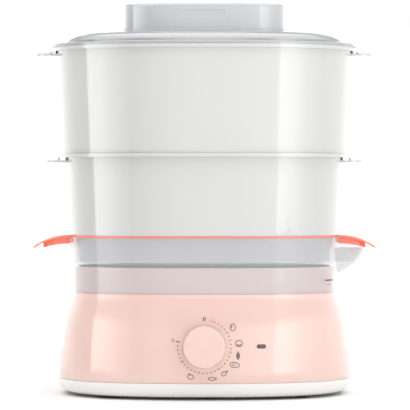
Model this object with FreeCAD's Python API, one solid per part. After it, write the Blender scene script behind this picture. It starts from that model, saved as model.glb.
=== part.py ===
"""Electric food steamer: pink base with a turn timer, clear grey water tank, drip tray, two stacked bowls and a lid.

Millimetres, +Z up, the user's side is -Y. Every piece is modelled about the body's own centre line and moved
once, on export, so that the origin is the centre of the whole object's box at the level of the worktop.
"""

import FreeCAD
import Part

import math
import os

V = FreeCAD.Vector
X_AXIS = V(1, 0, 0)
Y_AXIS = V(0, 1, 0)
Z_AXIS = V(0, 0, 1)

# Levels above the worktop
FOOT_HEIGHT = 2.5
COVER_TOP = 15.3
SEAM_Z = 92.1
COLLAR_TOP = 115.3
RIM_BAND_Z = 131.5
TANK_TOP = 141.4
LOWER_BOWL_Z = 143.5
LOWER_RIM_TOP = 216.3
UPPER_BOWL_Z = 216.5
UPPER_RIM_TOP = 311.5
LID_Z = 311.7
LID_PLATEAU = 328.9
LID_TOP = 352.0

# Half widths, half depths and squareness of the oval outlines
BASE_A, BASE_B, BASE_N = 132.2, 103.6, 2.45
NECK_A, NECK_B, NECK_N = 120.6, 93.2, 2.75
TANK_FLARE = 1.2
RIM_BAND_OUT = 0.8
LOWER_A, LOWER_B, LOWER_N = 122.9, 95.4, 2.7
LOWER_FLARE = 3.6
UPPER_A, UPPER_B, UPPER_N = 130.9, 102.6, 2.6
UPPER_FLARE = 4.3
LID_A, LID_B, LID_N = 140.0, 111.0, 2.5

# Wall thicknesses
HOUSING_WALL = 2.5
COVER_WALL = 2.5
COVER_FLOOR = 3.0
TANK_WALL = 2.2
TANK_FLOOR = 2.5
TRAY_WALL = 1.7
BOWL_WALL = 2.0
LID_WALL = 2.2

# Clearances
SKIRT_GAP = 0.4
SEAM_GAP = 0.3
REST_GAP = 0.2
BOWL_CLEAR = 0.5
LIFT_GAP = 1.0
RUN_GAP = 0.05
DRILL_GAP = 0.2

# Base cover and housing
COVER_ROUND = 9.5
TONGUE_HEIGHT = 4.0
COLLAR_LIP = 3.0
VENT_COUNT, VENT_LENGTH, VENT_WIDTH, VENT_PITCH = 6, 26.0, 3.0, 8.0
VENT_X = 40.0
FOOT_X, FOOT_Y, FOOT_R, FOOT_SINK = 84.0, 60.0, 9.0, 1.8
SCREW_X, SCREW_Y, BOSS_R = 98.0, 28.0, 5.0
SCREW_R, SCREW_HEAD_R, SCREW_HEAD = 1.9, 3.6, 2.2

# Water tank
TANK_FLOOR_Z = 72.0
WEB_THICK = 2.3
BASIN_DRAFT = 3.5
BASIN_GAP = 2.0
SPOUT_CENTRE = 100.0
SPOUT_TOP, SPOUT_FOOT = 131.6, 107.0
SPOUT_REACH, SPOUT_HALF_WIDTH = 145.3, 30.0
SPOUT_SILL = 119.0

# Heater
HEATER_R, HEATER_CORE_R, HEATER_PLATE = 46.0, 32.0, 3.0
HEATER_DEPTH = 14.0
SEAL_THICK, SEAL_INNER_R = 2.0, 34.0
CLAMP_THICK = 3.0
HEATER_SCREW_PCD = 80.0
HEATER_SCREW_COUNT = 3
ELEMENT_RING_R, ELEMENT_TUBE_R = 23.0, 3.3
THERMOSTAT_R, THERMOSTAT_HEIGHT = 8.5, 7.0
FUSE_R, FUSE_LENGTH = 2.0, 14.0

# Drip tray
TRAY_FLANGE = 1.7
TRAY_FLOOR_Z = 119.6
TRAY_GAP = 1.6
TRAY_DRAFT = 2.0
CHIMNEY_R, CHIMNEY_TOP = 32.0, 138.0
GRATE_Z, GRATE_THICK, GRATE_HUB_R, GRATE_BARS, GRATE_BAR = 131.0, 2.0, 7.0, 10, 2.4
HANDLE_REACH, HANDLE_TIP_Z = 154.5, 132.6
HANDLE_CROWN = 1.9
HANDLE_HALF_WIDTH, HANDLE_CORNER = 37.0, 14.0
HANDLE_SKIRT_REACH, HANDLE_SKIRT_Z = 145.3, 132.0
HANDLE_SKIRT_HALF_WIDTH, HANDLE_WALL = 31.0, 1.8
HANDLE_ROOT = 118.0
HANDLE_ROOT_Z = 135.7

# Bowls
LEDGE_HEIGHT, LEDGE_RISE = 2.0, 2.0
LOCATE_DEPTH, LOCATE_WALL = 4.5, 1.8
RIM_HEIGHT, LOWER_RIM_OUT, UPPER_RIM_OUT = 3.4, 5.2, 3.3
TAB_THICK, TAB_HALF_WIDTH, TAB_CORNER = 2.2, 36.0, 12.0
LOWER_TAB_REACH, LOWER_TAB_DROP = 142.6, 4.4
UPPER_TAB_REACH, UPPER_TAB_DROP = 151.6, 3.8
TAB_LIP = 1.8
PLATE_THICK, PLATE_GAP = 2.0, 0.8
SLOT_LENGTH, SLOT_WIDTH, SLOT_PITCH_X, SLOT_PITCH_Y, SLOT_MARGIN = 16.0, 3.2, 22.0, 9.0, 9.0

# Lid
LID_FLANGE = 2.4
DOME_A, DOME_B = 128.0, 105.0
DOME_TOP_A, DOME_TOP_B, DOME_TOP_Z, DOME_STEPS = 80.0, 42.0, 326.2, 8
EAR_A, EAR_B = 136.6, 74.0
EAR_TOP_A, EAR_TOP_B, EAR_TOP_Z = 112.0, 44.0, 320.2
EAR_N = 2.2
EAR_PROFILE = [(0.0, 0.0), (0.18, 0.36), (0.36, 0.6), (0.68, 0.82), (1.0, 1.0)]
GRIP_A, GRIP_B, GRIP_N = 73.2, 38.0, 3.2
GRIP_ROUND = 2.6
PLINTH_OUT = 3.2
PLAQUE_WIDTH, PLAQUE_HEIGHT, PLAQUE_DEPTH, PLAQUE_DROP = 38.0, 6.4, 0.5, 6.0
STEAM_HOLE_R, STEAM_HOLE_X, STEAM_HOLE_Y = 2.0, 24.0, 62.0

# Knob and timer
DIAL_Z = 47.4
SEAT_R, SEAT_PROUD = 19.4, 0.5
KNOB_R, KNOB_BACK_R, KNOB_DEPTH, KNOB_ROUND = 18.2, 18.8, 13.4, 1.6
KNOB_WALL, KNOB_HUB_R, KNOB_GAP = 2.0, 6.0, 0.6
INDEX_WIDTH, INDEX_LENGTH, INDEX_DEPTH, INDEX_ANGLE = 1.0, 4.0, 0.4, 169.5
SHAFT_R, SHAFT_FLAT = 3.0, 1.0
TIMER_STANDOFF = 8.5
TIMER_HALF, TIMER_DEPTH, TIMER_PLATE, TIMER_CORNER = 23.0, 21.0, 1.2, 5.0
PILLAR_INSET, PILLAR_R = 4.0, 2.2
GEAR_MODULE, GEAR_TEETH, PINION_TEETH, GEAR_THICK = 0.8, 30, 10, 2.0
GEAR_WINDOWS, WINDOW_R, WINDOW_PCD = 5, 2.4, 14.0
GEAR_BACKLASH = 0.16
PINION_ANGLE = 180.0
ARBOR_R, PIVOT_R = 1.4, 0.8
ESCAPE_R, ESCAPE_TEETH, ESCAPE_THICK = 6.5, 15, 1.0
SPRING_INNER_R, SPRING_OUTER_R, SPRING_TURNS, SPRING_STRIP, SPRING_WIDTH = 3.5, 12.5, 5.5, 0.5, 5.0
CAM_R, CAM_NOTCH, CAM_THICK = 8.0, 2.0, 2.0
BELL_R, BELL_HEIGHT, BELL_WALL = 14.0, 6.0, 0.8
TIMER_SCREW_OFFSET, TIMER_SCREW_R, TIMER_SCREW_HEAD_R, TIMER_SCREW_HEAD = 12.0, 1.5, 2.7, 1.8

# Indicator lamp
LAMP_X, LENS_WIDTH, LENS_HEIGHT, LENS_PROUD, LENS_FLANGE = 49.8, 7.8, 3.3, 0.25, 1.5
LAMP_R, LAMP_LENGTH = 2.6, 12.0

# Mains inlet and wiring
GLAND_Z, GLAND_R, GLAND_FLANGE_R, GLAND_FLANGE, GLAND_BORE_R = 31.0, 6.6, 8.8, 2.0, 3.6
GLAND_STAND = 0.6
CLAMP_POST_R, CLAMP_POST_X, CLAMP_Y = 3.5, 10.0, 82.0
BLOCK_X, BLOCK_Y, BLOCK_LENGTH, BLOCK_DEPTH, BLOCK_HEIGHT = 44.0, 56.0, 32.0, 16.0, 13.0
BLOCK_WAYS, BLOCK_SCREW_R = 3, 2.0
LEAD_R = 1.2

OVAL_POINTS = 40


# Oval outlines and the skins lofted through them
def oval(a, b, n, z):
    """A closed superellipse at height z: |x/a|^n + |y/b|^n = 1."""
    points = []
    for i in range(OVAL_POINTS):
        angle = 2 * math.pi * i / OVAL_POINTS
        c, s = math.cos(angle), math.sin(angle)
        r = (abs(c / a) ** n + abs(s / b) ** n) ** (-1 / n)
        points.append(V(r * c, r * s, z))
    curve = Part.BSplineCurve()
    curve.interpolate(Points=points, PeriodicFlag=True)
    return Part.Wire([curve.toShape()])


def skin(stations, ruled=False):
    """A solid through ovals given as (z, a, b, n)."""
    return Part.makeLoft([oval(a, b, n, z) for z, a, b, n in stations], True, ruled)


def inset(stations, amount):
    """The same ovals, smaller all round by an amount."""
    return [(z, a - amount, b - amount, n) for z, a, b, n in stations]


def straight(z0, z1, a, b, n, flare=0.0):
    """Two ovals with straight sides between them, wider at the top by the flare."""
    return [(z0, a, b, n), (z1, a + flare, b + flare, n)]


def ring(z0, z1, a, b, n, width, flare=0.0):
    """An oval tube of a given wall."""
    sides = straight(z0, z1, a, b, n, flare)
    return skin(sides, True).cut(skin(inset(sides, width), True))


def oval_depth(x, a, b, n):
    """How far the oval reaches along Y at a given X."""
    return b * (1 - abs(x / a) ** n) ** (1 / n)


def box(x0, x1, y0, y1, z0, z1):
    return Part.makeBox(x1 - x0, y1 - y0, z1 - z0, V(x0, y0, z0))


def rod(radius, start, end):
    """A cylinder between two points."""
    return Part.makeCylinder(radius, (end - start).Length, start, end - start)


def on_z(radius, x, y, z0, z1):
    return rod(radius, V(x, y, z0), V(x, y, z1))


def on_y(radius, x, z, y0, y1):
    return rod(radius, V(x, y0, z), V(x, y1, z))


def rounded_plan(half_x, half_y, corner, z0, z1):
    """An upright block with rounded corners, centred on the Z axis."""
    block = box(-half_x, half_x, -half_y, half_y, z0, z1)
    uprights = [e for e in block.Edges if abs(e.tangentAt(e.FirstParameter).z) > 0.9]
    return block.makeFillet(corner, uprights)


def four_corners(x, y):
    return [(sx * x, sy * y) for sx in (-1, 1) for sy in (-1, 1)]


def group(shapes):
    return Part.makeCompound(shapes)


def bored(shape, tools):
    return shape.cut(group(tools))


def pan_screw(radius, head_r, head, seat, direction, length):
    """A pan-head screw whose head stands out of the seat and whose shank runs along the direction."""
    shank = Part.makeCylinder(radius, length, seat, direction)
    cap = Part.makeCylinder(head_r, head, seat - direction * head, direction)
    slot_depth = head * 0.4
    slot = Part.makeBox(head_r * 2, head * 0.4, slot_depth)
    slot.translate(V(-head_r, -head * 0.2, -slot_depth))
    slot.Placement = FreeCAD.Placement(seat - direction * (head - slot_depth), FreeCAD.Rotation(Z_AXIS, direction)).multiply(
        slot.Placement
    )
    return shank.fuse(cap).cut(slot)


# Base housing
HOUSING_STATIONS = [(0.0, 1.0), (0.2, 1.0), (0.4, 0.915), (0.58, 0.76), (0.74, 0.52), (0.87, 0.21), (0.95, 0.03), (1.0, 0.0)]


def housing_outline(extra=0.0):
    """Ovals from the cover's top edge to the seam: a straight foot, then a shoulder into the neck."""
    stations = []
    for share, fullness in HOUSING_STATIONS:
        z = COVER_TOP + share * (SEAM_Z - COVER_TOP)
        a = NECK_A + fullness * (BASE_A - NECK_A)
        b = NECK_B + fullness * (BASE_B - NECK_B)
        n = NECK_N + fullness * (BASE_N - NECK_N)
        stations.append((z, a + extra, b + extra, n))
    return stations


def fullness_at(z):
    """The housing outline's fullness at a height, between its two nearest stations."""
    share = (z - COVER_TOP) / (SEAM_Z - COVER_TOP)
    for (s0, f0), (s1, f1) in zip(HOUSING_STATIONS, HOUSING_STATIONS[1:]):
        if s0 <= share <= s1:
            return f0 + (f1 - f0) * (share - s0) / (s1 - s0)
    return 0.0


def housing_depth(x, z):
    """Distance of the housing's outer face from the centre plane at a given X and Z."""
    f = fullness_at(z)
    return oval_depth(x, NECK_A + f * (BASE_A - NECK_A), NECK_B + f * (BASE_B - NECK_B), NECK_N + f * (BASE_N - NECK_N))


SEAT_Y = -(housing_depth(0, DIAL_Z - SEAT_R) + SEAT_PROUD)
PLATE_FRONT_Y = -(housing_depth(0, DIAL_Z) - HOUSING_WALL) + TIMER_STANDOFF
PLATE_BACK_Y = PLATE_FRONT_Y + TIMER_DEPTH
COLLAR_A = NECK_A - TANK_WALL - SKIRT_GAP
COLLAR_B = NECK_B - TANK_WALL - SKIRT_GAP
KNOB_BACK_Y = SEAT_Y - KNOB_GAP
KNOB_FACE_Y = KNOB_BACK_Y - KNOB_DEPTH
GLAND_Y = housing_depth(0, GLAND_Z)


def base_housing():
    outer = skin(housing_outline())
    collar_sides = straight(SEAM_Z, COLLAR_TOP, COLLAR_A, COLLAR_B, NECK_N)
    collar = skin(collar_sides, True)
    seat = on_y(SEAT_R, 0, DIAL_Z, SEAT_Y, SEAT_Y + SEAT_R)
    body = outer.fuse(seat).fuse(collar)
    hollow = skin(inset(housing_outline(), HOUSING_WALL))
    throat_sides = straight(SEAM_Z - HOUSING_WALL, COLLAR_TOP - HOUSING_WALL, COLLAR_A - HOUSING_WALL, COLLAR_B - HOUSING_WALL, NECK_N)
    throat = skin(throat_sides, True)
    mouth_sides = straight(SEAM_Z, COLLAR_TOP + 1, COLLAR_A - COLLAR_LIP, COLLAR_B - COLLAR_LIP, NECK_N)
    mouth = skin(mouth_sides, True)
    shoulder_a, shoulder_b = COLLAR_A - HOUSING_WALL, COLLAR_B - HOUSING_WALL
    trim = hollow.cut(ring(SEAM_Z - HOUSING_WALL, SEAM_Z + 1, NECK_A + 5, NECK_B + 5, NECK_N, NECK_A + 5 - shoulder_a))
    shell = body.cut(group([trim])).cut(throat).cut(mouth)
    bosses = [
        on_y(TIMER_SCREW_HEAD_R + 1.3, 0, DIAL_Z + side * TIMER_SCREW_OFFSET, SEAT_Y + 1, PLATE_FRONT_Y) for side in (-1, 1)
    ]
    shell = shell.fuse(bosses)
    drills = [on_y(SHAFT_R + 1.0, 0, DIAL_Z, SEAT_Y - 1, PLATE_FRONT_Y)]
    for side in (-1, 1):
        z = DIAL_Z + side * TIMER_SCREW_OFFSET
        drills.append(on_y(TIMER_SCREW_R + DRILL_GAP, 0, z, SEAT_Y - 1, PLATE_FRONT_Y + 1))
        drills.append(on_y(TIMER_SCREW_HEAD_R + DRILL_GAP, 0, z, SEAT_Y - 1, SEAT_Y + TIMER_SCREW_HEAD + 0.2))
    drills.append(lens_block(LENS_WIDTH / 2 + DRILL_GAP, LENS_HEIGHT / 2 + DRILL_GAP, 30))
    drills.append(on_y(GLAND_R + DRILL_GAP, 0, GLAND_Z, GLAND_Y - 10, GLAND_Y + 5))
    return shell.cut(group(drills))


# Bottom cover, feet and screws
def cover_outline():
    """Ovals of the bottom cover, rounded under its outer edge by a quarter circle."""
    steps = 6
    stations = []
    for i in range(steps + 1):
        turn = math.pi / 2 * i / steps
        drop = COVER_ROUND * (1 - math.cos(turn))
        reach = COVER_ROUND * (1 - math.sin(turn))
        stations.append((FOOT_HEIGHT + drop, BASE_A - reach, BASE_B - reach, BASE_N))
    return stations + [(COVER_TOP - SEAM_GAP, BASE_A, BASE_B, BASE_N)]


def bottom_cover():
    outline = cover_outline()
    body = skin(outline[: len(outline) - 1]).fuse(skin(outline[-2:], True))
    floor_top = FOOT_HEIGHT + COVER_FLOOR
    room_a, room_b = BASE_A - COVER_ROUND + 2, BASE_B - COVER_ROUND + 2
    room = skin([(floor_top, room_a, room_b, BASE_N), (floor_top + 4, BASE_A - COVER_WALL - 1.5, BASE_B - COVER_WALL - 1.5, BASE_N)], True)
    upper_sides = straight(floor_top + 4, COVER_TOP + 1, BASE_A - COVER_WALL - 1.5, BASE_B - COVER_WALL - 1.5, BASE_N)
    room = room.fuse(skin(upper_sides, True))
    tongue_inset = HOUSING_WALL + DRILL_GAP
    tongue = ring(COVER_TOP - 4, COVER_TOP + TONGUE_HEIGHT, BASE_A - tongue_inset, BASE_B - tongue_inset, BASE_N, 1.6)
    shell = body.cut(room).fuse(tongue)
    posts = [on_z(BOSS_R, x, y, FOOT_HEIGHT + 1, screw_seat_z()) for x, y in four_corners(SCREW_X, SCREW_Y)]
    pads = [on_z(FOOT_R + 2, x, y, FOOT_HEIGHT, floor_top + 1) for x, y in four_corners(FOOT_X, FOOT_Y)]
    posts += [on_z(CLAMP_POST_R, side * CLAMP_POST_X, CLAMP_Y, FOOT_HEIGHT + 1, GLAND_Z) for side in (-1, 1)]
    saddle = box(-CLAMP_POST_X, CLAMP_POST_X, CLAMP_Y - 2.5, CLAMP_Y + 2.5, FOOT_HEIGHT + 1, GLAND_Z - GLAND_BORE_R)
    shell = shell.fuse(posts + pads + [saddle])
    drills = [on_z(FOOT_R + DRILL_GAP, x, y, 0, FOOT_HEIGHT + FOOT_SINK) for x, y in four_corners(FOOT_X, FOOT_Y)]
    for x, y in four_corners(SCREW_X, SCREW_Y):
        drills.append(on_z(SCREW_R + DRILL_GAP, x, y, 0, COVER_TOP + 10))
        drills.append(on_z(SCREW_HEAD_R + 0.4, x, y, 0, screw_seat_z() - COVER_FLOOR))
    for side in (-1, 1):
        drills.append(on_z(TIMER_SCREW_R, side * CLAMP_POST_X, CLAMP_Y, GLAND_Z - 8, GLAND_Z + 1))
        for i in range(VENT_COUNT):
            x = side * (VENT_X + (i - (VENT_COUNT - 1) / 2) * VENT_PITCH)
            drills.append(box(x - VENT_WIDTH / 2, x + VENT_WIDTH / 2, -VENT_LENGTH / 2, VENT_LENGTH / 2, 0, floor_top + 1))
    return shell.cut(group(drills))


def screw_seat_z():
    """Top of the cover's screw posts, where the tank's long bosses stand."""
    return COVER_TOP


def feet():
    return group([on_z(FOOT_R, x, y, 0, FOOT_HEIGHT + FOOT_SINK) for x, y in four_corners(FOOT_X, FOOT_Y)])


def cover_screws():
    seat = screw_seat_z() - COVER_FLOOR
    return group([pan_screw(SCREW_R, SCREW_HEAD_R, SCREW_HEAD, V(x, y, seat), Z_AXIS, 16) for x, y in four_corners(SCREW_X, SCREW_Y)])


# Water tank
def basin_outline(extra=0.0):
    a = COLLAR_A - COLLAR_LIP - BASIN_GAP
    b = COLLAR_B - COLLAR_LIP - BASIN_GAP
    return straight(TANK_FLOOR_Z, COLLAR_TOP + SEAM_GAP + WEB_THICK, a - BASIN_DRAFT - extra, b - BASIN_DRAFT - extra, NECK_N, BASIN_DRAFT)


def spout_outline(extra=0.0):
    """Horizontal ellipses of the filling spout, from its foot on the skirt to its mouth."""
    wires = []
    steps = 6
    for i in range(steps + 1):
        share = i / steps
        z = SPOUT_FOOT + share * (SPOUT_TOP - SPOUT_FOOT)
        swell = math.sin(share * math.pi / 2) ** 0.9
        reach = (NECK_A - 1 - SPOUT_CENTRE) + swell * (SPOUT_REACH - NECK_A + 1) - extra
        half = SPOUT_HALF_WIDTH * (0.5 + 0.5 * swell) - extra
        ellipse = Part.Ellipse(V(SPOUT_CENTRE, 0, z), reach, half) if reach > half else None
        if ellipse is None:
            ellipse = Part.Ellipse(V(SPOUT_CENTRE, 0, z), half, reach)
            edge = ellipse.toShape()
            edge.rotate(V(SPOUT_CENTRE, 0, z), Z_AXIS, 90)
        else:
            edge = ellipse.toShape()
        wires.append(Part.Wire([edge]))
    return wires


def water_tank():
    wall_sides = straight(SEAM_Z + SEAM_GAP, TANK_TOP, NECK_A, NECK_B, NECK_N, TANK_FLARE)
    outer = skin(wall_sides, True)
    band = skin(straight(RIM_BAND_Z, TANK_TOP, NECK_A + TANK_FLARE + RIM_BAND_OUT, NECK_B + TANK_FLARE + RIM_BAND_OUT, NECK_N), True)
    spout = Part.makeLoft(spout_outline(), True, False)
    body = outer.fuse(band).fuse(spout.cut(box(-200, NECK_A - 15, -100, 100, 0, 200)))
    web_z = COLLAR_TOP + SEAM_GAP
    above_sides = straight(web_z + WEB_THICK, TANK_TOP + 1, NECK_A - TANK_WALL + 0.5, NECK_B - TANK_WALL + 0.5, NECK_N, TANK_FLARE - 0.5)
    below_sides = straight(SEAM_Z - 1, web_z, NECK_A - TANK_WALL, NECK_B - TANK_WALL, NECK_N)
    body = body.cut(group([skin(above_sides, True), skin(below_sides, True)]))
    basin = skin(basin_outline(), True)
    bosses = [on_z(BOSS_R, x, y, screw_seat_z(), TANK_FLOOR_Z + 1) for x, y in four_corners(SCREW_X, SCREW_Y)]
    body = body.fuse([basin] + bosses)
    bottom = TANK_FLOOR_Z + TANK_FLOOR
    (_, a0, b0, n), (z1, a1, b1, _) = basin_outline(TANK_WALL)
    room = skin([(bottom, a0, b0, n), (z1 + 1, a1, b1, n)], True)
    body = body.cut(room)
    spout_room = Part.makeLoft(spout_outline(TANK_WALL), True, False)
    spout_room = spout_room.cut(box(-200, 200, -100, 100, 0, SPOUT_SILL)).cut(box(-200, NECK_A - 6, -100, 100, 0, 200))
    open_top = Part.makeLoft(spout_outline(TANK_WALL)[-1:] + [lifted(spout_outline(TANK_WALL)[-1], 4)], True, True)
    open_top = open_top.cut(skin(straight(TANK_FLOOR_Z, 200, NECK_A + TANK_FLARE + RIM_BAND_OUT, NECK_B + TANK_FLARE + RIM_BAND_OUT, NECK_N), True))
    drills = [spout_room, open_top, on_z(HEATER_CORE_R + 0.6, 0, 0, TANK_FLOOR_Z - 1, bottom + 1)]
    drills += [on_z(SCREW_R + DRILL_GAP, x, y, TANK_FLOOR_Z - 1, bottom + 1) for x, y in heater_screw_places()]
    drills += [on_z(SCREW_R, x, y, screw_seat_z() - 1, screw_seat_z() + 14) for x, y in four_corners(SCREW_X, SCREW_Y)]
    return body.cut(group(drills))


def lifted(wire, height):
    copy = wire.copy()
    copy.translate(V(0, 0, height))
    return copy


# Heater, under the tank floor
SEAL_Z = TANK_FLOOR_Z + TANK_FLOOR
PLATE_Z = SEAL_Z + SEAL_THICK
CORE_Z = PLATE_Z - HEATER_DEPTH


def heater_screw_places():
    step = 2 * math.pi / HEATER_SCREW_COUNT
    radius = HEATER_SCREW_PCD / 2
    return [(radius * math.cos(i * step + step / 4), radius * math.sin(i * step + step / 4)) for i in range(HEATER_SCREW_COUNT)]


def heater_plate():
    disc = on_z(HEATER_R, 0, 0, PLATE_Z, PLATE_Z + HEATER_PLATE)
    disc = disc.makeFillet(1.0, [e for e in disc.Edges if e.BoundBox.ZMin > PLATE_Z + HEATER_PLATE - 0.01])
    core = on_z(HEATER_CORE_R, 0, 0, CORE_Z, PLATE_Z)
    groove = Part.makeTorus(ELEMENT_RING_R, ELEMENT_TUBE_R, V(0, 0, CORE_Z))
    holes = [on_z(SCREW_R, x, y, PLATE_Z - 1, PLATE_Z + HEATER_PLATE - 1) for x, y in heater_screw_places()]
    return disc.fuse(core).cut(group([groove] + holes))


def heater_element():
    """A ring of sheathed element let into the plate's underside, with its two cold pins turned down."""
    ring_solid = Part.makeTorus(ELEMENT_RING_R, ELEMENT_TUBE_R, V(0, 0, CORE_Z))
    pins = [on_z(1.6, ELEMENT_RING_R, side * 5, CORE_Z - 12, CORE_Z - 1) for side in (-1, 1)]
    return ring_solid.fuse(pins)


def heater_seal():
    body = on_z(HEATER_R, 0, 0, SEAL_Z, PLATE_Z).cut(on_z(SEAL_INNER_R, 0, 0, SEAL_Z - 1, PLATE_Z + 1))
    return bored(body, [on_z(SCREW_R + DRILL_GAP, x, y, SEAL_Z - 1, PLATE_Z + 1) for x, y in heater_screw_places()])


def heater_clamp():
    z = TANK_FLOOR_Z
    body = on_z(HEATER_R, 0, 0, z - CLAMP_THICK, z).cut(on_z(SEAL_INNER_R, 0, 0, z - CLAMP_THICK - 1, z + 1))
    return bored(body, [on_z(SCREW_R + DRILL_GAP, x, y, z - CLAMP_THICK - 1, z + 1) for x, y in heater_screw_places()])


def heater_screws():
    seat = TANK_FLOOR_Z - CLAMP_THICK
    length = PLATE_Z + HEATER_PLATE - 1.2 - seat
    return group([pan_screw(SCREW_R, SCREW_HEAD_R, SCREW_HEAD, V(x, y, seat), Z_AXIS, length) for x, y in heater_screw_places()])


def thermostat():
    can = on_z(THERMOSTAT_R, 0, 0, CORE_Z - THERMOSTAT_HEIGHT, CORE_Z)
    blades = [box(side * 4 - 0.4, side * 4 + 0.4, -3, 3, CORE_Z - THERMOSTAT_HEIGHT - 6, CORE_Z - THERMOSTAT_HEIGHT) for side in (-1, 1)]
    return can.fuse(blades)


def thermostat_strap():
    """A bent strip across the plate that presses the thermostat and carries the fuse."""
    z = CORE_Z - THERMOSTAT_HEIGHT
    half = ELEMENT_RING_R - ELEMENT_TUBE_R - 1.2
    low = box(-5, 5, -THERMOSTAT_R - 2, THERMOSTAT_R + 2, z - 1.2, z)
    sides = [
        box(-5, 5, min(s * (THERMOSTAT_R + 0.8), s * (THERMOSTAT_R + 2)), max(s * (THERMOSTAT_R + 0.8), s * (THERMOSTAT_R + 2)), z - 1.2, CORE_Z)
        for s in (-1, 1)
    ]
    ears = [box(-5, 5, min(s * THERMOSTAT_R + s, s * half), max(s * THERMOSTAT_R + s, s * half), CORE_Z - 1.2, CORE_Z) for s in (-1, 1)]
    strap = low.fuse(sides + ears)
    can_room = on_z(THERMOSTAT_R + 0.2, 0, 0, z, CORE_Z + 1)
    blade_slots = [box(side * 4 - 0.7, side * 4 + 0.7, -3.3, 3.3, z - 2, z + 0.5) for side in (-1, 1)]
    return strap.cut(group([can_room] + blade_slots))


def thermal_fuse():
    y = THERMOSTAT_R + 2 + FUSE_R
    z = CORE_Z - THERMOSTAT_HEIGHT + FUSE_R
    body = rod(FUSE_R, V(-FUSE_LENGTH / 2, y, z), V(FUSE_LENGTH / 2, y, z))
    tails = rod(0.5, V(-FUSE_LENGTH / 2 - 8, y, z), V(FUSE_LENGTH / 2 + 8, y, z))
    return body.fuse(tails)


# Drip tray
def tray_handle(side):
    """One wing: a curved top shell with a skirt under it, open below, as seen from the front."""
    top_z = TANK_TOP + REST_GAP + TRAY_FLANGE + 0.4
    root = V(HANDLE_ROOT, 0, top_z)
    tip = V(HANDLE_REACH, 0, HANDLE_TIP_Z)
    middle = V((HANDLE_ROOT + HANDLE_REACH) / 2 + 2, 0, (top_z + HANDLE_TIP_Z) / 2 + HANDLE_CROWN + 0.8)
    arc = Part.Arc(root, middle, tip)
    down = V(0, 0, -HANDLE_WALL)
    under = Part.Arc(root + down, middle + down, tip + down)
    outline = [arc.toShape(), Part.makeLine(tip, tip + down), under.toShape(), Part.makeLine(root + down, root)]
    face = Part.Face(Part.Wire(Part.__sortEdges__(outline)))
    wing = face.extrude(V(0, 2 * HANDLE_HALF_WIDTH, 0))
    wing.translate(V(0, -HANDLE_HALF_WIDTH, 0))
    plan = rounded_plan(HANDLE_REACH, HANDLE_HALF_WIDTH, HANDLE_CORNER, 100, 160)
    wing = wing.common(plan)
    skirt_plan = rounded_plan(HANDLE_SKIRT_REACH, HANDLE_SKIRT_HALF_WIDTH, HANDLE_CORNER - 4, 100, 160)
    room_plan = rounded_plan(HANDLE_SKIRT_REACH - HANDLE_WALL, HANDLE_SKIRT_HALF_WIDTH - HANDLE_WALL, HANDLE_CORNER - 5, 100, 160)
    low_points = [
        V(HANDLE_ROOT, 0, HANDLE_ROOT_Z),
        V((HANDLE_ROOT + HANDLE_SKIRT_REACH) / 2, 0, HANDLE_ROOT_Z - 0.4),
        V(HANDLE_SKIRT_REACH + 1, 0, HANDLE_SKIRT_Z - 0.4),
    ]
    low = Part.Arc(*low_points)
    skirt_outline = [
        arc.toShape(),
        Part.makeLine(tip, V(tip.x, 0, low_points[2].z)),
        Part.makeLine(V(tip.x, 0, low_points[2].z), low_points[2]),
        low.toShape(),
        Part.makeLine(low_points[0], root),
    ]
    skirt_face = Part.Face(Part.Wire(Part.__sortEdges__(skirt_outline)))
    skirt = skirt_face.extrude(V(0, 2 * HANDLE_HALF_WIDTH, 0))
    skirt.translate(V(0, -HANDLE_HALF_WIDTH, 0))
    skirt = skirt.common(skirt_plan).cut(room_plan)
    handle = wing.fuse(skirt)
    if side < 0:
        handle.rotate(V(0, 0, 0), Z_AXIS, 180)
    return handle


TRAY_Z = TANK_TOP + REST_GAP
TRAY_TOP = TRAY_Z + TRAY_FLANGE
BASIN_A = NECK_A - TANK_WALL - TRAY_GAP
BASIN_B = NECK_B - TANK_WALL - TRAY_GAP


def drip_tray():
    """The coloured frame: a flat ring on the tank's rim with a wing at each end."""
    reach_a = NECK_A + TANK_FLARE + RIM_BAND_OUT
    reach_b = NECK_B + TANK_FLARE + RIM_BAND_OUT
    flange = skin(straight(TRAY_Z, TRAY_TOP, reach_a, reach_b, NECK_N), True)
    tank_clear = skin(straight(TRAY_FLOOR_Z - 5, TRAY_Z, reach_a + REST_GAP, reach_b + REST_GAP, NECK_N), True)
    clear_a, clear_b = LOWER_A + BOWL_CLEAR, LOWER_B + BOWL_CLEAR
    bowl_clear = skin(straight(TRAY_TOP, TRAY_TOP + 10, clear_a, clear_b, LOWER_N, BOWL_CLEAR), True)
    handles = [tray_handle(side).cut(tank_clear).cut(bowl_clear) for side in (-1, 1)]
    middle = skin(straight(TRAY_FLOOR_Z - 5, TRAY_TOP + 20, BASIN_A, BASIN_B, NECK_N), True)
    return flange.fuse(handles).cut(middle)


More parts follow.
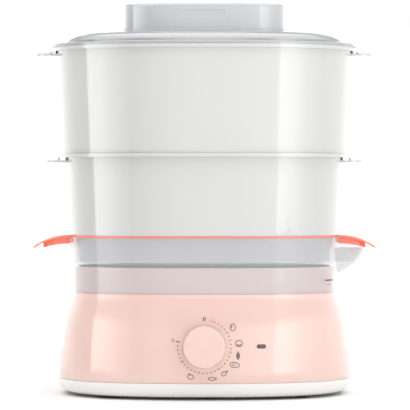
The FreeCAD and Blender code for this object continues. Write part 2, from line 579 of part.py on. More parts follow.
def drip_basin():
    """The clear tub that the frame is moulded on to, with a chimney and a grate in its middle."""
    tub = skin(straight(TRAY_FLOOR_Z, TRAY_Z, BASIN_A - TRAY_DRAFT, BASIN_B - TRAY_DRAFT, NECK_N, TRAY_DRAFT), True)
    tub = tub.fuse(skin(straight(TRAY_Z, TRAY_TOP, BASIN_A, BASIN_B, NECK_N), True))
    inner_a, inner_b = BASIN_A - TRAY_WALL, BASIN_B - TRAY_WALL
    floor = TRAY_FLOOR_Z + TRAY_WALL
    tub = tub.cut(skin(straight(floor, TRAY_Z, inner_a - TRAY_DRAFT, inner_b - TRAY_DRAFT, NECK_N, TRAY_DRAFT), True))
    tub = tub.cut(skin(straight(TRAY_Z - 0.5, TRAY_TOP + 1, inner_a, inner_b, NECK_N), True))
    body = tub.fuse(on_z(CHIMNEY_R, 0, 0, TRAY_FLOOR_Z, CHIMNEY_TOP))
    bore = on_z(CHIMNEY_R - TRAY_WALL, 0, 0, TRAY_FLOOR_Z - 1, CHIMNEY_TOP + 1)
    grate = on_z(GRATE_HUB_R, 0, 0, GRATE_Z, GRATE_Z + GRATE_THICK)
    bars = []
    for i in range(GRATE_BARS):
        bar = box(0, CHIMNEY_R - TRAY_WALL / 2, -GRATE_BAR / 2, GRATE_BAR / 2, GRATE_Z, GRATE_Z + GRATE_THICK)
        bar.rotate(V(0, 0, 0), Z_AXIS, 360 * i / GRATE_BARS)
        bars.append(bar)
    return body.cut(bore).fuse([grate] + bars)


# Bowls and their lift-out plates
def tab(side, reach, top_z, wall_a, rim_a, rim_z):
    """A flat finger tab under the rim at one end, with a lip that ties its middle to the rim."""
    plan = rounded_plan(reach, TAB_HALF_WIDTH, TAB_CORNER, top_z - TAB_THICK, top_z)
    keep = box(wall_a - 4, reach + 1, -TAB_HALF_WIDTH, TAB_HALF_WIDTH, top_z - TAB_THICK - 1, top_z + 1)
    plate = plan.common(keep)
    lip = box(rim_a - TAB_LIP, rim_a, -TAB_HALF_WIDTH * 0.8, TAB_HALF_WIDTH * 0.8, top_z - 0.1, rim_z)
    piece = plate.fuse(lip)
    if side < 0:
        piece.rotate(V(0, 0, 0), Z_AXIS, 180)
    return piece


def bowl(z0, rim_top, a, b, n, flare, rim_out, tab_reach, tab_drop, below_a, below_b):
    """A flared wall with a rim, two tabs, a ledge for the plate and a ring that drops into the piece below."""
    wall_top = rim_top - RIM_HEIGHT
    height = rim_top - z0
    wall = skin(straight(z0, rim_top, a, b, n, flare), True)
    rim_a, rim_b = a + flare + rim_out, b + flare + rim_out
    rim = skin(straight(wall_top, rim_top, rim_a, rim_b, n), True)
    tab_top = wall_top - tab_drop + TAB_THICK
    tabs = [tab(side, tab_reach, tab_top, a + flare * (tab_top - z0) / height, rim_a, wall_top) for side in (-1, 1)]
    body = wall.fuse([rim] + tabs)
    ledge_top = z0 + LEDGE_RISE + LEDGE_HEIGHT
    slope = flare / height
    start = slope * (ledge_top - z0)
    room = skin([(ledge_top, a - BOWL_WALL + start, b - BOWL_WALL + start, n), (rim_top + 1, a - BOWL_WALL + flare + slope, b - BOWL_WALL + flare + slope, n)], True)
    throat = skin(straight(z0 - LOCATE_DEPTH - 1, ledge_top + 1, below_a - LOCATE_WALL, below_b - LOCATE_WALL, n), True)
    locate = skin(straight(z0 - LOCATE_DEPTH, z0 + LEDGE_RISE, below_a, below_b, n), True)
    return body.cut(room).fuse(locate).cut(throat)


def plate(z0, a, b, n, flare, height):
    """A lift-out floor with rows of steam slots."""
    z = z0 + LEDGE_RISE + LEDGE_HEIGHT + REST_GAP
    lean = flare / height * (z - z0)
    edge = BOWL_WALL + PLATE_GAP
    body = skin(straight(z, z + PLATE_THICK, a + lean - edge, b + lean - edge, n), True)
    slots = []
    rows = int(b // SLOT_PITCH_Y)
    columns = int(a // SLOT_PITCH_X) + 1
    for row in range(-rows, rows + 1):
        for column in range(-columns, columns + 1):
            x = (column + (0.5 if row % 2 else 0.0)) * SLOT_PITCH_X
            y = row * SLOT_PITCH_Y
            far_x = (abs(x) + SLOT_LENGTH / 2 + SLOT_MARGIN) / (a - edge)
            far_y = (abs(y) + SLOT_WIDTH / 2 + SLOT_MARGIN) / (b - edge)
            if far_x**n + far_y**n < 1:
                slots.append(slot_cutter(x, y, z))
    return body.cut(group(slots))


def slot_cutter(x, y, z):
    half = (SLOT_LENGTH - SLOT_WIDTH) / 2
    low, high = z - 1, z + PLATE_THICK + 1
    r = SLOT_WIDTH / 2
    corners = [V(x - half, y - r, low), V(x + half, y - r, low), V(x + half, y + r, low), V(x - half, y + r, low)]
    edges = [
        Part.makeLine(corners[0], corners[1]),
        Part.Arc(corners[1], V(x + half + r, y, low), corners[2]).toShape(),
        Part.makeLine(corners[2], corners[3]),
        Part.Arc(corners[3], V(x - half - r, y, low), corners[0]).toShape(),
    ]
    return Part.Face(Part.Wire(edges)).extrude(V(0, 0, high - low))


def lower_bowl():
    below_a = NECK_A - TANK_WALL - TRAY_GAP - TRAY_WALL - LIFT_GAP
    below_b = NECK_B - TANK_WALL - TRAY_GAP - TRAY_WALL - LIFT_GAP
    return bowl(
        LOWER_BOWL_Z, LOWER_RIM_TOP, LOWER_A, LOWER_B, LOWER_N, LOWER_FLARE,
        LOWER_RIM_OUT, LOWER_TAB_REACH, LOWER_TAB_DROP, below_a, below_b,
    )


def upper_bowl():
    below_a = LOWER_A + LOWER_FLARE - BOWL_WALL - LIFT_GAP
    below_b = LOWER_B + LOWER_FLARE - BOWL_WALL - LIFT_GAP
    return bowl(
        UPPER_BOWL_Z, UPPER_RIM_TOP, UPPER_A, UPPER_B, UPPER_N, UPPER_FLARE,
        UPPER_RIM_OUT, UPPER_TAB_REACH, UPPER_TAB_DROP, below_a, below_b,
    )


def lower_plate():
    return plate(LOWER_BOWL_Z, LOWER_A, LOWER_B, LOWER_N, LOWER_FLARE, LOWER_RIM_TOP - LOWER_BOWL_Z)


def upper_plate():
    return plate(UPPER_BOWL_Z, UPPER_A, UPPER_B, UPPER_N, UPPER_FLARE, UPPER_RIM_TOP - UPPER_BOWL_Z)


# Lid
def dome(thinner=0.0):
    """The lid's raised middle, from the flange up to the plateau round the grip."""
    foot = LID_Z + LID_FLANGE
    stations = [(foot - 1.5, DOME_A - thinner, DOME_B - thinner, LID_N)]
    for i in range(DOME_STEPS + 1):
        share = i / DOME_STEPS
        turn = share * math.pi / 2
        z = foot + (DOME_TOP_Z - foot) * math.sin(turn)
        a = DOME_TOP_A + (DOME_A - DOME_TOP_A) * math.cos(turn) ** 0.8
        b = DOME_TOP_B + (DOME_B - DOME_TOP_B) * math.cos(turn) ** 0.8
        stations.append((z - thinner * math.sin(turn), a - thinner, b - thinner, LID_N + (GRIP_N - LID_N) * share))
    return skin(stations, True)


def ears(thinner=0.0):
    """The lower shoulders that carry the lid's flange out to its two ends."""
    foot = LID_Z + LID_FLANGE
    rise = EAR_TOP_Z - foot
    stations = []
    for share, height in EAR_PROFILE:
        a = EAR_A + share * (EAR_TOP_A - EAR_A)
        b = EAR_B + share * (EAR_TOP_B - EAR_B)
        stations.append((foot + height * rise - thinner * (0.5 + height / 2), a - thinner, b - thinner, EAR_N))
    return skin(stations, True)


def grip(thinner=0.0):
    """The upright block that the hand holds, rounded along its top edge."""
    z0 = DOME_TOP_Z - 8
    block = skin(straight(z0, LID_TOP - thinner, GRIP_A - thinner, GRIP_B - thinner, GRIP_N), True)
    if thinner:
        return block
    return block.makeFillet(GRIP_ROUND, [e for e in block.Edges if e.BoundBox.ZMin > LID_TOP - 0.01])


def lid():
    flange = skin(straight(LID_Z, LID_Z + LID_FLANGE, LID_A, LID_B, LID_N), True)
    flange = flange.makeFillet(0.9, [e for e in flange.Edges if e.BoundBox.ZMin > LID_Z + LID_FLANGE - 0.01])
    plinth = skin(straight(DOME_TOP_Z - 5, LID_PLATEAU, GRIP_A + PLINTH_OUT, GRIP_B + PLINTH_OUT, GRIP_N), True)
    plinth = plinth.makeFillet(1.2, [e for e in plinth.Edges if e.BoundBox.ZMin > LID_PLATEAU - 0.01])
    body = flange.fuse([dome(), ears(), plinth, grip()])
    inner = dome(LID_WALL).fuse([ears(LID_WALL), grip(LID_WALL)])
    foot_sides = straight(LID_Z - 1, LID_Z + LID_FLANGE, DOME_A - LID_WALL, DOME_B - LID_WALL, LID_N)
    inner = inner.fuse(skin(foot_sides, True))
    locate_a = UPPER_A + UPPER_FLARE - BOWL_WALL - LIFT_GAP
    locate_b = UPPER_B + UPPER_FLARE - BOWL_WALL - LIFT_GAP
    locate = ring(LID_Z - LOCATE_DEPTH, LID_Z + 1, locate_a, locate_b, UPPER_N, LOCATE_WALL)
    shell = body.cut(inner).fuse(locate)
    plaque_z = LID_TOP - PLAQUE_DROP - PLAQUE_HEIGHT
    half = PLAQUE_WIDTH / 2
    plaque = box(-half, half, -GRIP_B - 1, -GRIP_B + PLAQUE_DEPTH, plaque_z, plaque_z + PLAQUE_HEIGHT)
    corners = [e for e in plaque.Edges if abs(e.tangentAt(e.FirstParameter).y) > 0.9]
    plaque = plaque.makeFillet(PLAQUE_HEIGHT / 2 - 0.2, corners)
    holes = [on_z(STEAM_HOLE_R, side * STEAM_HOLE_X, STEAM_HOLE_Y, LID_Z, LID_TOP) for side in (-1, 1)]
    return shell.cut(group([plaque] + holes))


# Timer knob and clockwork
def timer_knob():
    cone = Part.makeCone(KNOB_BACK_R, KNOB_R, KNOB_DEPTH, V(0, KNOB_BACK_Y, DIAL_Z), -Y_AXIS)
    front = [e for e in cone.Edges if e.BoundBox.YMax < KNOB_FACE_Y + 0.01]
    cone = cone.makeFillet(KNOB_ROUND, front)
    room = on_y(KNOB_R - KNOB_WALL, 0, DIAL_Z, KNOB_FACE_Y + KNOB_WALL, KNOB_BACK_Y + 1)
    hub = on_y(KNOB_HUB_R, 0, DIAL_Z, KNOB_FACE_Y + KNOB_WALL, KNOB_BACK_Y)
    bore = shaft_section(KNOB_FACE_Y + KNOB_WALL + 1, KNOB_BACK_Y + 1, RUN_GAP)
    outer = KNOB_R - KNOB_ROUND
    index = box(outer - INDEX_LENGTH, outer, KNOB_FACE_Y - 1, KNOB_FACE_Y + INDEX_DEPTH, DIAL_Z - INDEX_WIDTH / 2, DIAL_Z + INDEX_WIDTH / 2)
    index.rotate(V(0, 0, DIAL_Z), Y_AXIS, -INDEX_ANGLE)
    return cone.cut(room).fuse(hub).cut(group([bore, index]))


def shaft_section(y0, y1, extra=0.0):
    """A round bar along Y with one flat, as a knob's spindle has."""
    bar = on_y(SHAFT_R + extra, 0, DIAL_Z, y0, y1)
    flat_z = DIAL_Z + SHAFT_R - SHAFT_FLAT + extra
    return bar.cut(box(-SHAFT_R - 1, SHAFT_R + 1, y0 - 1, y1 + 1, flat_z, flat_z + SHAFT_R))


def timer_shaft():
    """Flat-sided under the knob, round where it turns in the clockwork's plates."""
    joint_y = PLATE_FRONT_Y - 1
    front = shaft_section(KNOB_FACE_Y + KNOB_WALL + 1.5, joint_y)
    return front.fuse(on_y(SHAFT_R, 0, DIAL_Z, joint_y, PLATE_BACK_Y + TIMER_PLATE))


def timer_plate_blank(y0):
    blank = rounded_plan(TIMER_HALF, TIMER_HALF, TIMER_CORNER, 0, TIMER_PLATE)
    blank.rotate(V(0, 0, 0), X_AXIS, -90)
    blank.translate(V(0, y0, DIAL_Z))
    return blank


def pinion_place():
    distance = GEAR_MODULE * (GEAR_TEETH + PINION_TEETH) / 2
    angle = math.radians(PINION_ANGLE)
    return distance * math.cos(angle), DIAL_Z + distance * math.sin(angle)


def timer_front_plate():
    blank = timer_plate_blank(PLATE_FRONT_Y)
    x, z = pinion_place()
    drills = [on_y(SHAFT_R + RUN_GAP, 0, DIAL_Z, PLATE_FRONT_Y - 1, PLATE_FRONT_Y + TIMER_PLATE + 1)]
    drills.append(on_y(PIVOT_R + RUN_GAP, x, z, PLATE_FRONT_Y - 1, PLATE_FRONT_Y + TIMER_PLATE + 1))
    drills += [on_y(TIMER_SCREW_R, 0, DIAL_Z + s * TIMER_SCREW_OFFSET, PLATE_FRONT_Y - 1, PLATE_FRONT_Y + TIMER_PLATE + 1) for s in (-1, 1)]
    return bored(blank, drills)


def timer_back_plate():
    blank = timer_plate_blank(PLATE_BACK_Y)
    x, z = pinion_place()
    drills = [on_y(SHAFT_R + RUN_GAP, 0, DIAL_Z, PLATE_BACK_Y - 1, PLATE_BACK_Y + TIMER_PLATE + 1)]
    drills.append(on_y(PIVOT_R + RUN_GAP, x, z, PLATE_BACK_Y - 1, PLATE_BACK_Y + TIMER_PLATE + 1))
    return bored(blank, drills)


def timer_pillars():
    offset = TIMER_HALF - PILLAR_INSET
    return group([on_y(PILLAR_R, x, DIAL_Z + z, PLATE_FRONT_Y + TIMER_PLATE, PLATE_BACK_Y) for x, z in four_corners(offset, offset)])


def timer_screws():
    seat_y = SEAT_Y + TIMER_SCREW_HEAD
    length = PLATE_FRONT_Y + TIMER_PLATE - seat_y
    return group(
        [
            pan_screw(TIMER_SCREW_R, TIMER_SCREW_HEAD_R, TIMER_SCREW_HEAD, V(0, seat_y, DIAL_Z + s * TIMER_SCREW_OFFSET), Y_AXIS, length)
            for s in (-1, 1)
        ]
    )


def involute_outline(teeth, backlash):
    """Points of a spur gear's outline in its own plane, the first tooth centred on the X axis."""
    pitch_r = GEAR_MODULE * teeth / 2
    base_r = pitch_r * math.cos(math.radians(20))
    tip_r = pitch_r + GEAR_MODULE * 0.95
    root_r = pitch_r - GEAR_MODULE * 1.3
    half_at_pitch = math.pi / (2 * teeth) - backlash / (2 * pitch_r)
    involute = lambda r: math.sqrt(max((r / base_r) ** 2 - 1, 0)) - math.acos(min(base_r / r, 1))
    flank_start = max(base_r, root_r)
    radii = [flank_start + (tip_r - flank_start) * i / 4 for i in range(5)]
    points = []
    for tooth in range(teeth):
        centre = 2 * math.pi * tooth / teeth
        halves = [half_at_pitch + involute(pitch_r) - involute(r) for r in radii]
        rising = [(root_r, -halves[0])] + list(zip(radii, [-h for h in halves]))
        falling = [(r, -h) for r, h in reversed(rising)]
        for r, turn in rising + falling:
            points.append((r * math.cos(centre + turn), r * math.sin(centre + turn)))
    return points


def toothed(points, x, z, turn, y0, y1):
    """A disc with the given outline, its first tooth turned from the X axis, standing in the XZ plane."""
    c, s = math.cos(turn), math.sin(turn)
    ring_points = [V(x + px * c - pz * s, y0, z + px * s + pz * c) for px, pz in points]
    wire = Part.makePolygon(ring_points + ring_points[:1])
    return Part.Face(wire).extrude(V(0, y1 - y0, 0))


GEAR_Y = PLATE_FRONT_Y + TIMER_PLATE + 1.2


def timer_gear():
    disc = toothed(involute_outline(GEAR_TEETH, GEAR_BACKLASH), 0, DIAL_Z, math.radians(PINION_ANGLE), GEAR_Y, GEAR_Y + GEAR_THICK)
    windows = []
    for i in range(GEAR_WINDOWS):
        angle = 2 * math.pi * i / GEAR_WINDOWS + 0.3
        x, z = WINDOW_PCD / 2 * math.cos(angle), DIAL_Z + WINDOW_PCD / 2 * math.sin(angle)
        windows.append(on_y(WINDOW_R, x, z, GEAR_Y - 1, GEAR_Y + GEAR_THICK + 1))
    return bored(disc, windows + [on_y(SHAFT_R, 0, DIAL_Z, GEAR_Y - 1, GEAR_Y + GEAR_THICK + 1)])


def escape_arbor():
    """Pinion, staff and escape wheel on one staff, pivoted in the two plates."""
    x, z = pinion_place()
    gap_turn = math.radians(PINION_ANGLE + 180) + math.pi / PINION_TEETH
    pinion = toothed(involute_outline(PINION_TEETH, GEAR_BACKLASH), x, z, gap_turn, GEAR_Y - 0.4, GEAR_Y + GEAR_THICK + 0.4)
    staff = on_y(ARBOR_R, x, z, PLATE_FRONT_Y + TIMER_PLATE + 0.3, PLATE_BACK_Y - 0.3)
    pivots = on_y(PIVOT_R, x, z, PLATE_FRONT_Y + 0.2, PLATE_BACK_Y + TIMER_PLATE - 0.2)
    points = []
    for i in range(ESCAPE_TEETH):
        angle = 2 * math.pi * i / ESCAPE_TEETH
        lean = angle + 2 * math.pi / ESCAPE_TEETH * 0.25
        points.append((ESCAPE_R * 0.78 * math.cos(angle), ESCAPE_R * 0.78 * math.sin(angle)))
        points.append((ESCAPE_R * math.cos(lean), ESCAPE_R * math.sin(lean)))
    wheel = toothed(points, x, z, 0, CAM_Y, CAM_Y + ESCAPE_THICK)
    return staff.fuse([pivots, pinion, wheel])


SPRING_Y = GEAR_Y + GEAR_THICK + 1.6
CAM_Y = SPRING_Y + SPRING_WIDTH + 2.0


def timer_mainspring():
    """A flat spiral strip round the spindle."""
    steps = 60
    inner, outer = [], []
    for i in range(steps + 1):
        share = i / steps
        turn = 2 * math.pi * SPRING_TURNS * share
        r = SPRING_INNER_R + (SPRING_OUTER_R - SPRING_INNER_R) * share
        inner.append(V(r * math.cos(turn), SPRING_Y, DIAL_Z + r * math.sin(turn)))
        outer.append(V((r + SPRING_STRIP) * math.cos(turn), SPRING_Y, DIAL_Z + (r + SPRING_STRIP) * math.sin(turn)))
    curves = []
    for points in (inner, outer):
        curve = Part.BSplineCurve()
        curve.interpolate(Points=points)
        curves.append(curve.toShape())
    ends = [Part.makeLine(inner[0], outer[0]), Part.makeLine(inner[-1], outer[-1])]
    wire = Part.Wire(Part.__sortEdges__(curves + ends))
    return Part.Face(wire).extrude(V(0, SPRING_WIDTH, 0))


def timer_cam():
    disc = on_y(CAM_R, 0, DIAL_Z, CAM_Y, CAM_Y + CAM_THICK)
    notch = box(CAM_R - CAM_NOTCH, CAM_R + 1, CAM_Y - 1, CAM_Y + CAM_THICK + 1, DIAL_Z - 2, DIAL_Z + 2)
    return bored(disc, [notch, on_y(SHAFT_R, 0, DIAL_Z, CAM_Y - 1, CAM_Y + CAM_THICK + 1)])


def timer_contacts():
    """Two sprung leaves on an insulating block beside the cam."""
    x0 = CAM_R + 1.0
    block = box(x0, x0 + 8, PLATE_BACK_Y - 6, PLATE_BACK_Y, DIAL_Z + 8, DIAL_Z + 14)
    leaves = []
    for shift in (0.6, 4.0):
        leaves.append(box(x0 + shift, x0 + shift + 0.5, CAM_Y, CAM_Y + 2, DIAL_Z - 8, DIAL_Z + 10))
    carrier = box(x0, x0 + 8, CAM_Y, PLATE_BACK_Y - 5, DIAL_Z + 8.5, DIAL_Z + 13.5)
    return block.fuse([carrier] + leaves)


def timer_bell():
    y0 = PLATE_BACK_Y + TIMER_PLATE
    stud = on_y(1.6, -4, DIAL_Z - 8, y0, y0 + BELL_HEIGHT)
    cup = Part.makeCone(BELL_R, BELL_R * 0.7, BELL_HEIGHT - 1, V(-4, y0 + 1.0, DIAL_Z - 8), Y_AXIS)
    room = Part.makeCone(BELL_R - BELL_WALL, BELL_R * 0.7 - BELL_WALL, BELL_HEIGHT - 1 - BELL_WALL, V(-4, y0 + 1.0, DIAL_Z - 8), Y_AXIS)
    return cup.cut(room).fuse(stud)


# Indicator lamp
def lens_block(half_x, half_z, depth):
    """A bar with round ends through the housing's front at the lamp's place."""
    y0 = -housing_depth(LAMP_X, DIAL_Z) - 8
    bar = box(LAMP_X - half_x, LAMP_X + half_x, y0, y0 + depth, DIAL_Z - half_z, DIAL_Z + half_z)
    return bar.makeFillet(half_z * 0.98, [e for e in bar.Edges if abs(e.tangentAt(e.FirstParameter).y) > 0.9])


def indicator_lens():
    window = lens_block(LENS_WIDTH / 2, LENS_HEIGHT / 2, 14).common(skin(housing_outline(LENS_PROUD)))
    inside = skin(inset(housing_outline(), HOUSING_WALL + 0.1))
    flange = lens_block(LENS_WIDTH / 2 + LENS_FLANGE, LENS_HEIGHT / 2 + LENS_FLANGE, 14).common(inside)
    return window.fuse(flange)


def indicator_lamp():
    y0 = -housing_depth(LAMP_X, DIAL_Z) + 6.2
    glass = on_y(LAMP_R, LAMP_X, DIAL_Z, y0, y0 + LAMP_LENGTH)
    return glass.makeFillet(LAMP_R * 0.8, [e for e in glass.Edges if e.BoundBox.YMax < y0 + 0.01])


# Mains inlet
def cord_gland():
    """A stepped rubber bush in the back wall, bored for the mains lead."""
    seat_y = GLAND_Y + GLAND_STAND
    outer = on_y(GLAND_FLANGE_R, 0, GLAND_Z, seat_y, seat_y + GLAND_FLANGE)
    outer = outer.makeFillet(0.8, [e for e in outer.Edges if e.BoundBox.YMin > seat_y + GLAND_FLANGE - 0.1])
    barrel = on_y(GLAND_R, 0, GLAND_Z, GLAND_Y - 6, GLAND_Y + 1)
    inner = on_y(GLAND_FLANGE_R, 0, GLAND_Z, GLAND_Y - 6, GLAND_Y - 4)
    bore = on_y(GLAND_BORE_R, 0, GLAND_Z, GLAND_Y - 20, GLAND_Y + 20)
    return outer.fuse([barrel, inner]).cut(bore)


def cord_clamp():
    half = CLAMP_POST_X + CLAMP_POST_R
    bar = box(-half, half, CLAMP_Y - 3.5, CLAMP_Y + 3.5, GLAND_Z, GLAND_Z + 5)
    groove = on_y(GLAND_BORE_R, 0, GLAND_Z, CLAMP_Y - 5, CLAMP_Y + 5)
    holes = [on_z(TIMER_SCREW_R + DRILL_GAP, s * CLAMP_POST_X, CLAMP_Y, GLAND_Z - 1, GLAND_Z + 6) for s in (-1, 1)]
    return bored(bar, [groove] + holes)


def cord_clamp_screws():
    seat_z = GLAND_Z + 5
    return group([pan_screw(TIMER_SCREW_R, TIMER_SCREW_HEAD_R, TIMER_SCREW_HEAD, V(s * CLAMP_POST_X, CLAMP_Y, seat_z), -Z_AXIS, 11) for s in (-1, 1)])


def terminal_places():
    pitch = BLOCK_LENGTH / BLOCK_WAYS
    return [BLOCK_X + (i - (BLOCK_WAYS - 1) / 2) * pitch for i in range(BLOCK_WAYS)]


def terminal_block():
    z0 = FOOT_HEIGHT + COVER_FLOOR
    body = box(BLOCK_X - BLOCK_LENGTH / 2, BLOCK_X + BLOCK_LENGTH / 2, BLOCK_Y - BLOCK_DEPTH / 2, BLOCK_Y + BLOCK_DEPTH / 2, z0, z0 + BLOCK_HEIGHT)
    drills = []
    for x in terminal_places():
        drills.append(on_y(LEAD_R + 0.6, x, z0 + 5, BLOCK_Y - BLOCK_DEPTH, BLOCK_Y + BLOCK_DEPTH))
        drills.append(on_z(BLOCK_SCREW_R, x, BLOCK_Y, z0 + 7.5, z0 + BLOCK_HEIGHT + 1))
    return bored(body, drills)


def terminal_screws():
    z0 = FOOT_HEIGHT + COVER_FLOOR
    return group([on_z(BLOCK_SCREW_R - 0.1, x, BLOCK_Y, z0 + 7.5, z0 + BLOCK_HEIGHT - 1) for x in terminal_places()])


PIECES = {
    "lid": lid,
    "upper_bowl": upper_bowl,
    "upper_steam_plate": upper_plate,
    "lower_bowl": lower_bowl,
    "lower_steam_plate": lower_plate,
    "drip_tray": drip_tray,
    "drip_basin": drip_basin,
    "water_tank": water_tank,
    "base_housing": base_housing,
    "bottom_cover": bottom_cover,
    "feet": feet,
    "cover_screws": cover_screws,
    "heater_plate": heater_plate,
    "heater_element": heater_element,
    "heater_seal": heater_seal,
    "heater_clamp_ring": heater_clamp,
    "heater_screws": heater_screws,
    "thermostat": thermostat,
    "thermostat_strap": thermostat_strap,
    "thermal_fuse": thermal_fuse,
    "timer_knob": timer_knob,
    "timer_shaft": timer_shaft,
    "timer_front_plate": timer_front_plate,
    "timer_back_plate": timer_back_plate,
    "timer_pillars": timer_pillars,
    "timer_screws": timer_screws,
    "timer_gear": timer_gear,
    "timer_escape_arbor": escape_arbor,
    "timer_mainspring": timer_mainspring,
    "timer_cam": timer_cam,
    "timer_contacts": timer_contacts,
    "timer_bell": timer_bell,
    "indicator_lens": indicator_lens,
    "indicator_lamp": indicator_lamp,
    "cord_gland": cord_gland,
    "cord_clamp": cord_clamp,
    "cord_clamp_screws": cord_clamp_screws,
    "terminal_block": terminal_block,
    "terminal_screws": terminal_screws,
}

# The lid's rim is the furthest point behind and the knob's face the furthest in front
BODY_Y = -(LID_B + KNOB_FACE_Y) / 2


def main():
    os.makedirs("parts", exist_ok=True)
    for name, build in PIECES.items():
        shape = build()
        shape.translate(V(0, BODY_Y, 0))
        shape.exportStep("parts/" + name + ".step")
        solids = shape.Solids
        print(name, len(solids), round(sum(s.Volume for s in solids)), shape.isValid())


main()
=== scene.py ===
"""Electric food steamer: the pieces, finishes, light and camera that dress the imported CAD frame."""

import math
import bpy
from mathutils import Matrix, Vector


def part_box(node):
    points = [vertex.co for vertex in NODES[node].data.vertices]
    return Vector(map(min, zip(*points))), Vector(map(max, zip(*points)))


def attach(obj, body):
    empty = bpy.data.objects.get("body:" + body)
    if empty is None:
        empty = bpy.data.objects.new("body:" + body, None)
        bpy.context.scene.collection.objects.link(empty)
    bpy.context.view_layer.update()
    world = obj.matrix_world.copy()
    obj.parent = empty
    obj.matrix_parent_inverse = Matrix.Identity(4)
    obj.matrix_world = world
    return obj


bl_info = {
    "name": "Food Steamer",
    "version": (1, 0, 0),
    "blender": (4, 5, 0),
    "location": "View3D > Sidebar > Steamer",
    "description": "Dresses a two-bowl electric food steamer on its CAD frame",
    "category": "Object",
}

import bmesh
import bpy
from mathutils import Vector

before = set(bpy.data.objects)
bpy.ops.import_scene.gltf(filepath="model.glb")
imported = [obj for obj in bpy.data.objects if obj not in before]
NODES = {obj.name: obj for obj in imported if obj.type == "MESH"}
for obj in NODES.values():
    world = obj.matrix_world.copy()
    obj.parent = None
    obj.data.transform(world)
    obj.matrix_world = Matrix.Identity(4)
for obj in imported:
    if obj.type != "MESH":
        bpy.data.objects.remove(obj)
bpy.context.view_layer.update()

# Millimetres are the working unit, as in the part's source; a mesh is scaled to metres once, when it is made
MM = 0.001


def millimetres(node):
    """The lowest and highest corner of a CAD node, in millimetres."""
    low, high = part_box(node)
    return low / MM, high / MM


LID_LOW, LID_HIGH = millimetres("lid")
KNOB_LOW, KNOB_HIGH = millimetres("timer_knob")
CENTRE_Y = (LID_LOW.y + LID_HIGH.y) / 2
DIAL_Z = (KNOB_LOW.z + KNOB_HIGH.z) / 2

# The hollow grip rises from the lid's dome; the grip's painted light, paler than the dome's painted shade,
# comes in over a short height
GRIP_HEIGHT = 26.0
GRIP_PAINTED_LIGHT_FADE = 5.0
DOME_TOP_Z = LID_HIGH.z - GRIP_HEIGHT

# A printed mark is a thin closed layer of ink, half sunk in the surface under it
INK_PROUD = 0.1
INK_SUNK = 0.08
RAY_START = 400.0

# The dial, seen from the front: angles in degrees, anticlockwise from the knob's right side
FIGURES = ("10", "20", "30", "40", "50", "60")
FIRST_FIGURE_ANGLE = 76.0
FIGURE_HEIGHT = 1.7
DOTS_PER_FIGURE = 5
DOT_COUNT = len(FIGURES) * DOTS_PER_FIGURE
DOT_STEP = 8.88
DOT_SIDES = 14

# The dash and nought where the knob rests, and the two bars over the dial, measured from the ring of dots
OFF_ANGLE = 169.5
OFF_DASH_IN, OFF_DASH_OUT = -1.4, 1.9
OFF_FIGURE_OUT = 4.6
OFF_FIGURE_HEIGHT = 3.2
BAR_SIDE = 0.75
BAR_IN, BAR_OUT = -1.1, 2.4

# The level mark on the tank's front: a long dash and a short line under it
LEVEL_X, LEVEL_Z = 111.0, 103.7
LEVEL_LENGTH, LEVEL_WIDTH = 7.4, 1.2
UNDERLINE_SHIFT, UNDERLINE_DROP = 0.2, 3.8
UNDERLINE_LENGTH, UNDERLINE_WIDTH = 2.4, 0.45
LEVEL_STEPS = 8

# The blank panel on the grip's front: a raised bead round a rounded oblong
PANEL_HALF_WIDTH, PANEL_HALF_HEIGHT = 20.2, 3.3
PANEL_CORNER = 2.0
PANEL_DROP = 9.0
BEAD_RADIUS = 0.3
BEAD_PROUD = 0.55
BEAD_SIDES = 8
CORNER_STEPS = 6


def length(name, description, default):
    """A size in metres for the sidebar."""
    return bpy.props.FloatProperty(name=name, description=description, default=default, unit="LENGTH")


def colour(name, description, default):
    """A colour for the sidebar."""
    return bpy.props.FloatVectorProperty(
        name=name, description=description, subtype="COLOR", default=default, min=0, max=1
    )


class SteamerSizes(bpy.types.PropertyGroup):
    """Sizes that a user would change, in metres."""

    dial_radius: length("Dial radius", "Radius of the ring of minute dots", 0.0232)
    dot_radius: length("Dot radius", "Radius of one minute dot", 0.00058)
    stroke: length("Print stroke", "Width of the printed lines", 0.00078)
    camera_distance: length("Camera distance", "From the lens to the middle of the steamer", 2.25)
    view_width: length("View width", "What the frame spans at the middle of the steamer", 0.3739)


class SteamerColours(bpy.types.PropertyGroup):
    """Base colours of the finishes that a user would change."""

    pink: colour("Housing", "Colour of the base and knob", (0.74, 0.52, 0.462))
    white: colour("Bowls", "Colour of the bowls", (0.53, 0.53, 0.523))
    coral: colour("Tray", "Colour of the tray's frame", (0.95, 0.225, 0.14))
    smoke: colour("Tank", "Colour of the clear grey tank", (0.67, 0.69, 0.71))
    lid: colour("Lid", "Colour of the grey lid", (0.44, 0.445, 0.46))
    ring: colour("Bottom ring", "Colour of the white bottom cover", (0.76, 0.755, 0.735))
    ink: colour("Print", "Colour of the dial's print", (0.11, 0.085, 0.08))


def sizes():
    """The sizes that the scene holds now."""
    return bpy.context.scene.steamer_sizes


def colours():
    """The colours that the scene holds now."""
    return bpy.context.scene.steamer_colours


# Node maths as expressions
class Value:
    """A node socket that takes + - * / and **, each adding one Math node."""

    def __init__(self, tree, socket):
        self.tree, self.socket = tree, socket

    def math(self, operation, first, second):
        """One Math node on two values or numbers."""
        return self.tree.node("ShaderNodeMath", {"operation": operation}, {0: first, 1: second})

    def __add__(self, other):
        return self.math("ADD", self, other)

    def __sub__(self, other):
        return self.math("SUBTRACT", self, other)

    def __rsub__(self, other):
        return self.math("SUBTRACT", other, self)

    def __mul__(self, other):
        return self.math("MULTIPLY", self, other)

    def __truediv__(self, other):
        return self.math("DIVIDE", self, other)

    def __pow__(self, other):
        return self.math("POWER", self, other)

    __radd__ = __add__
    __rmul__ = __mul__


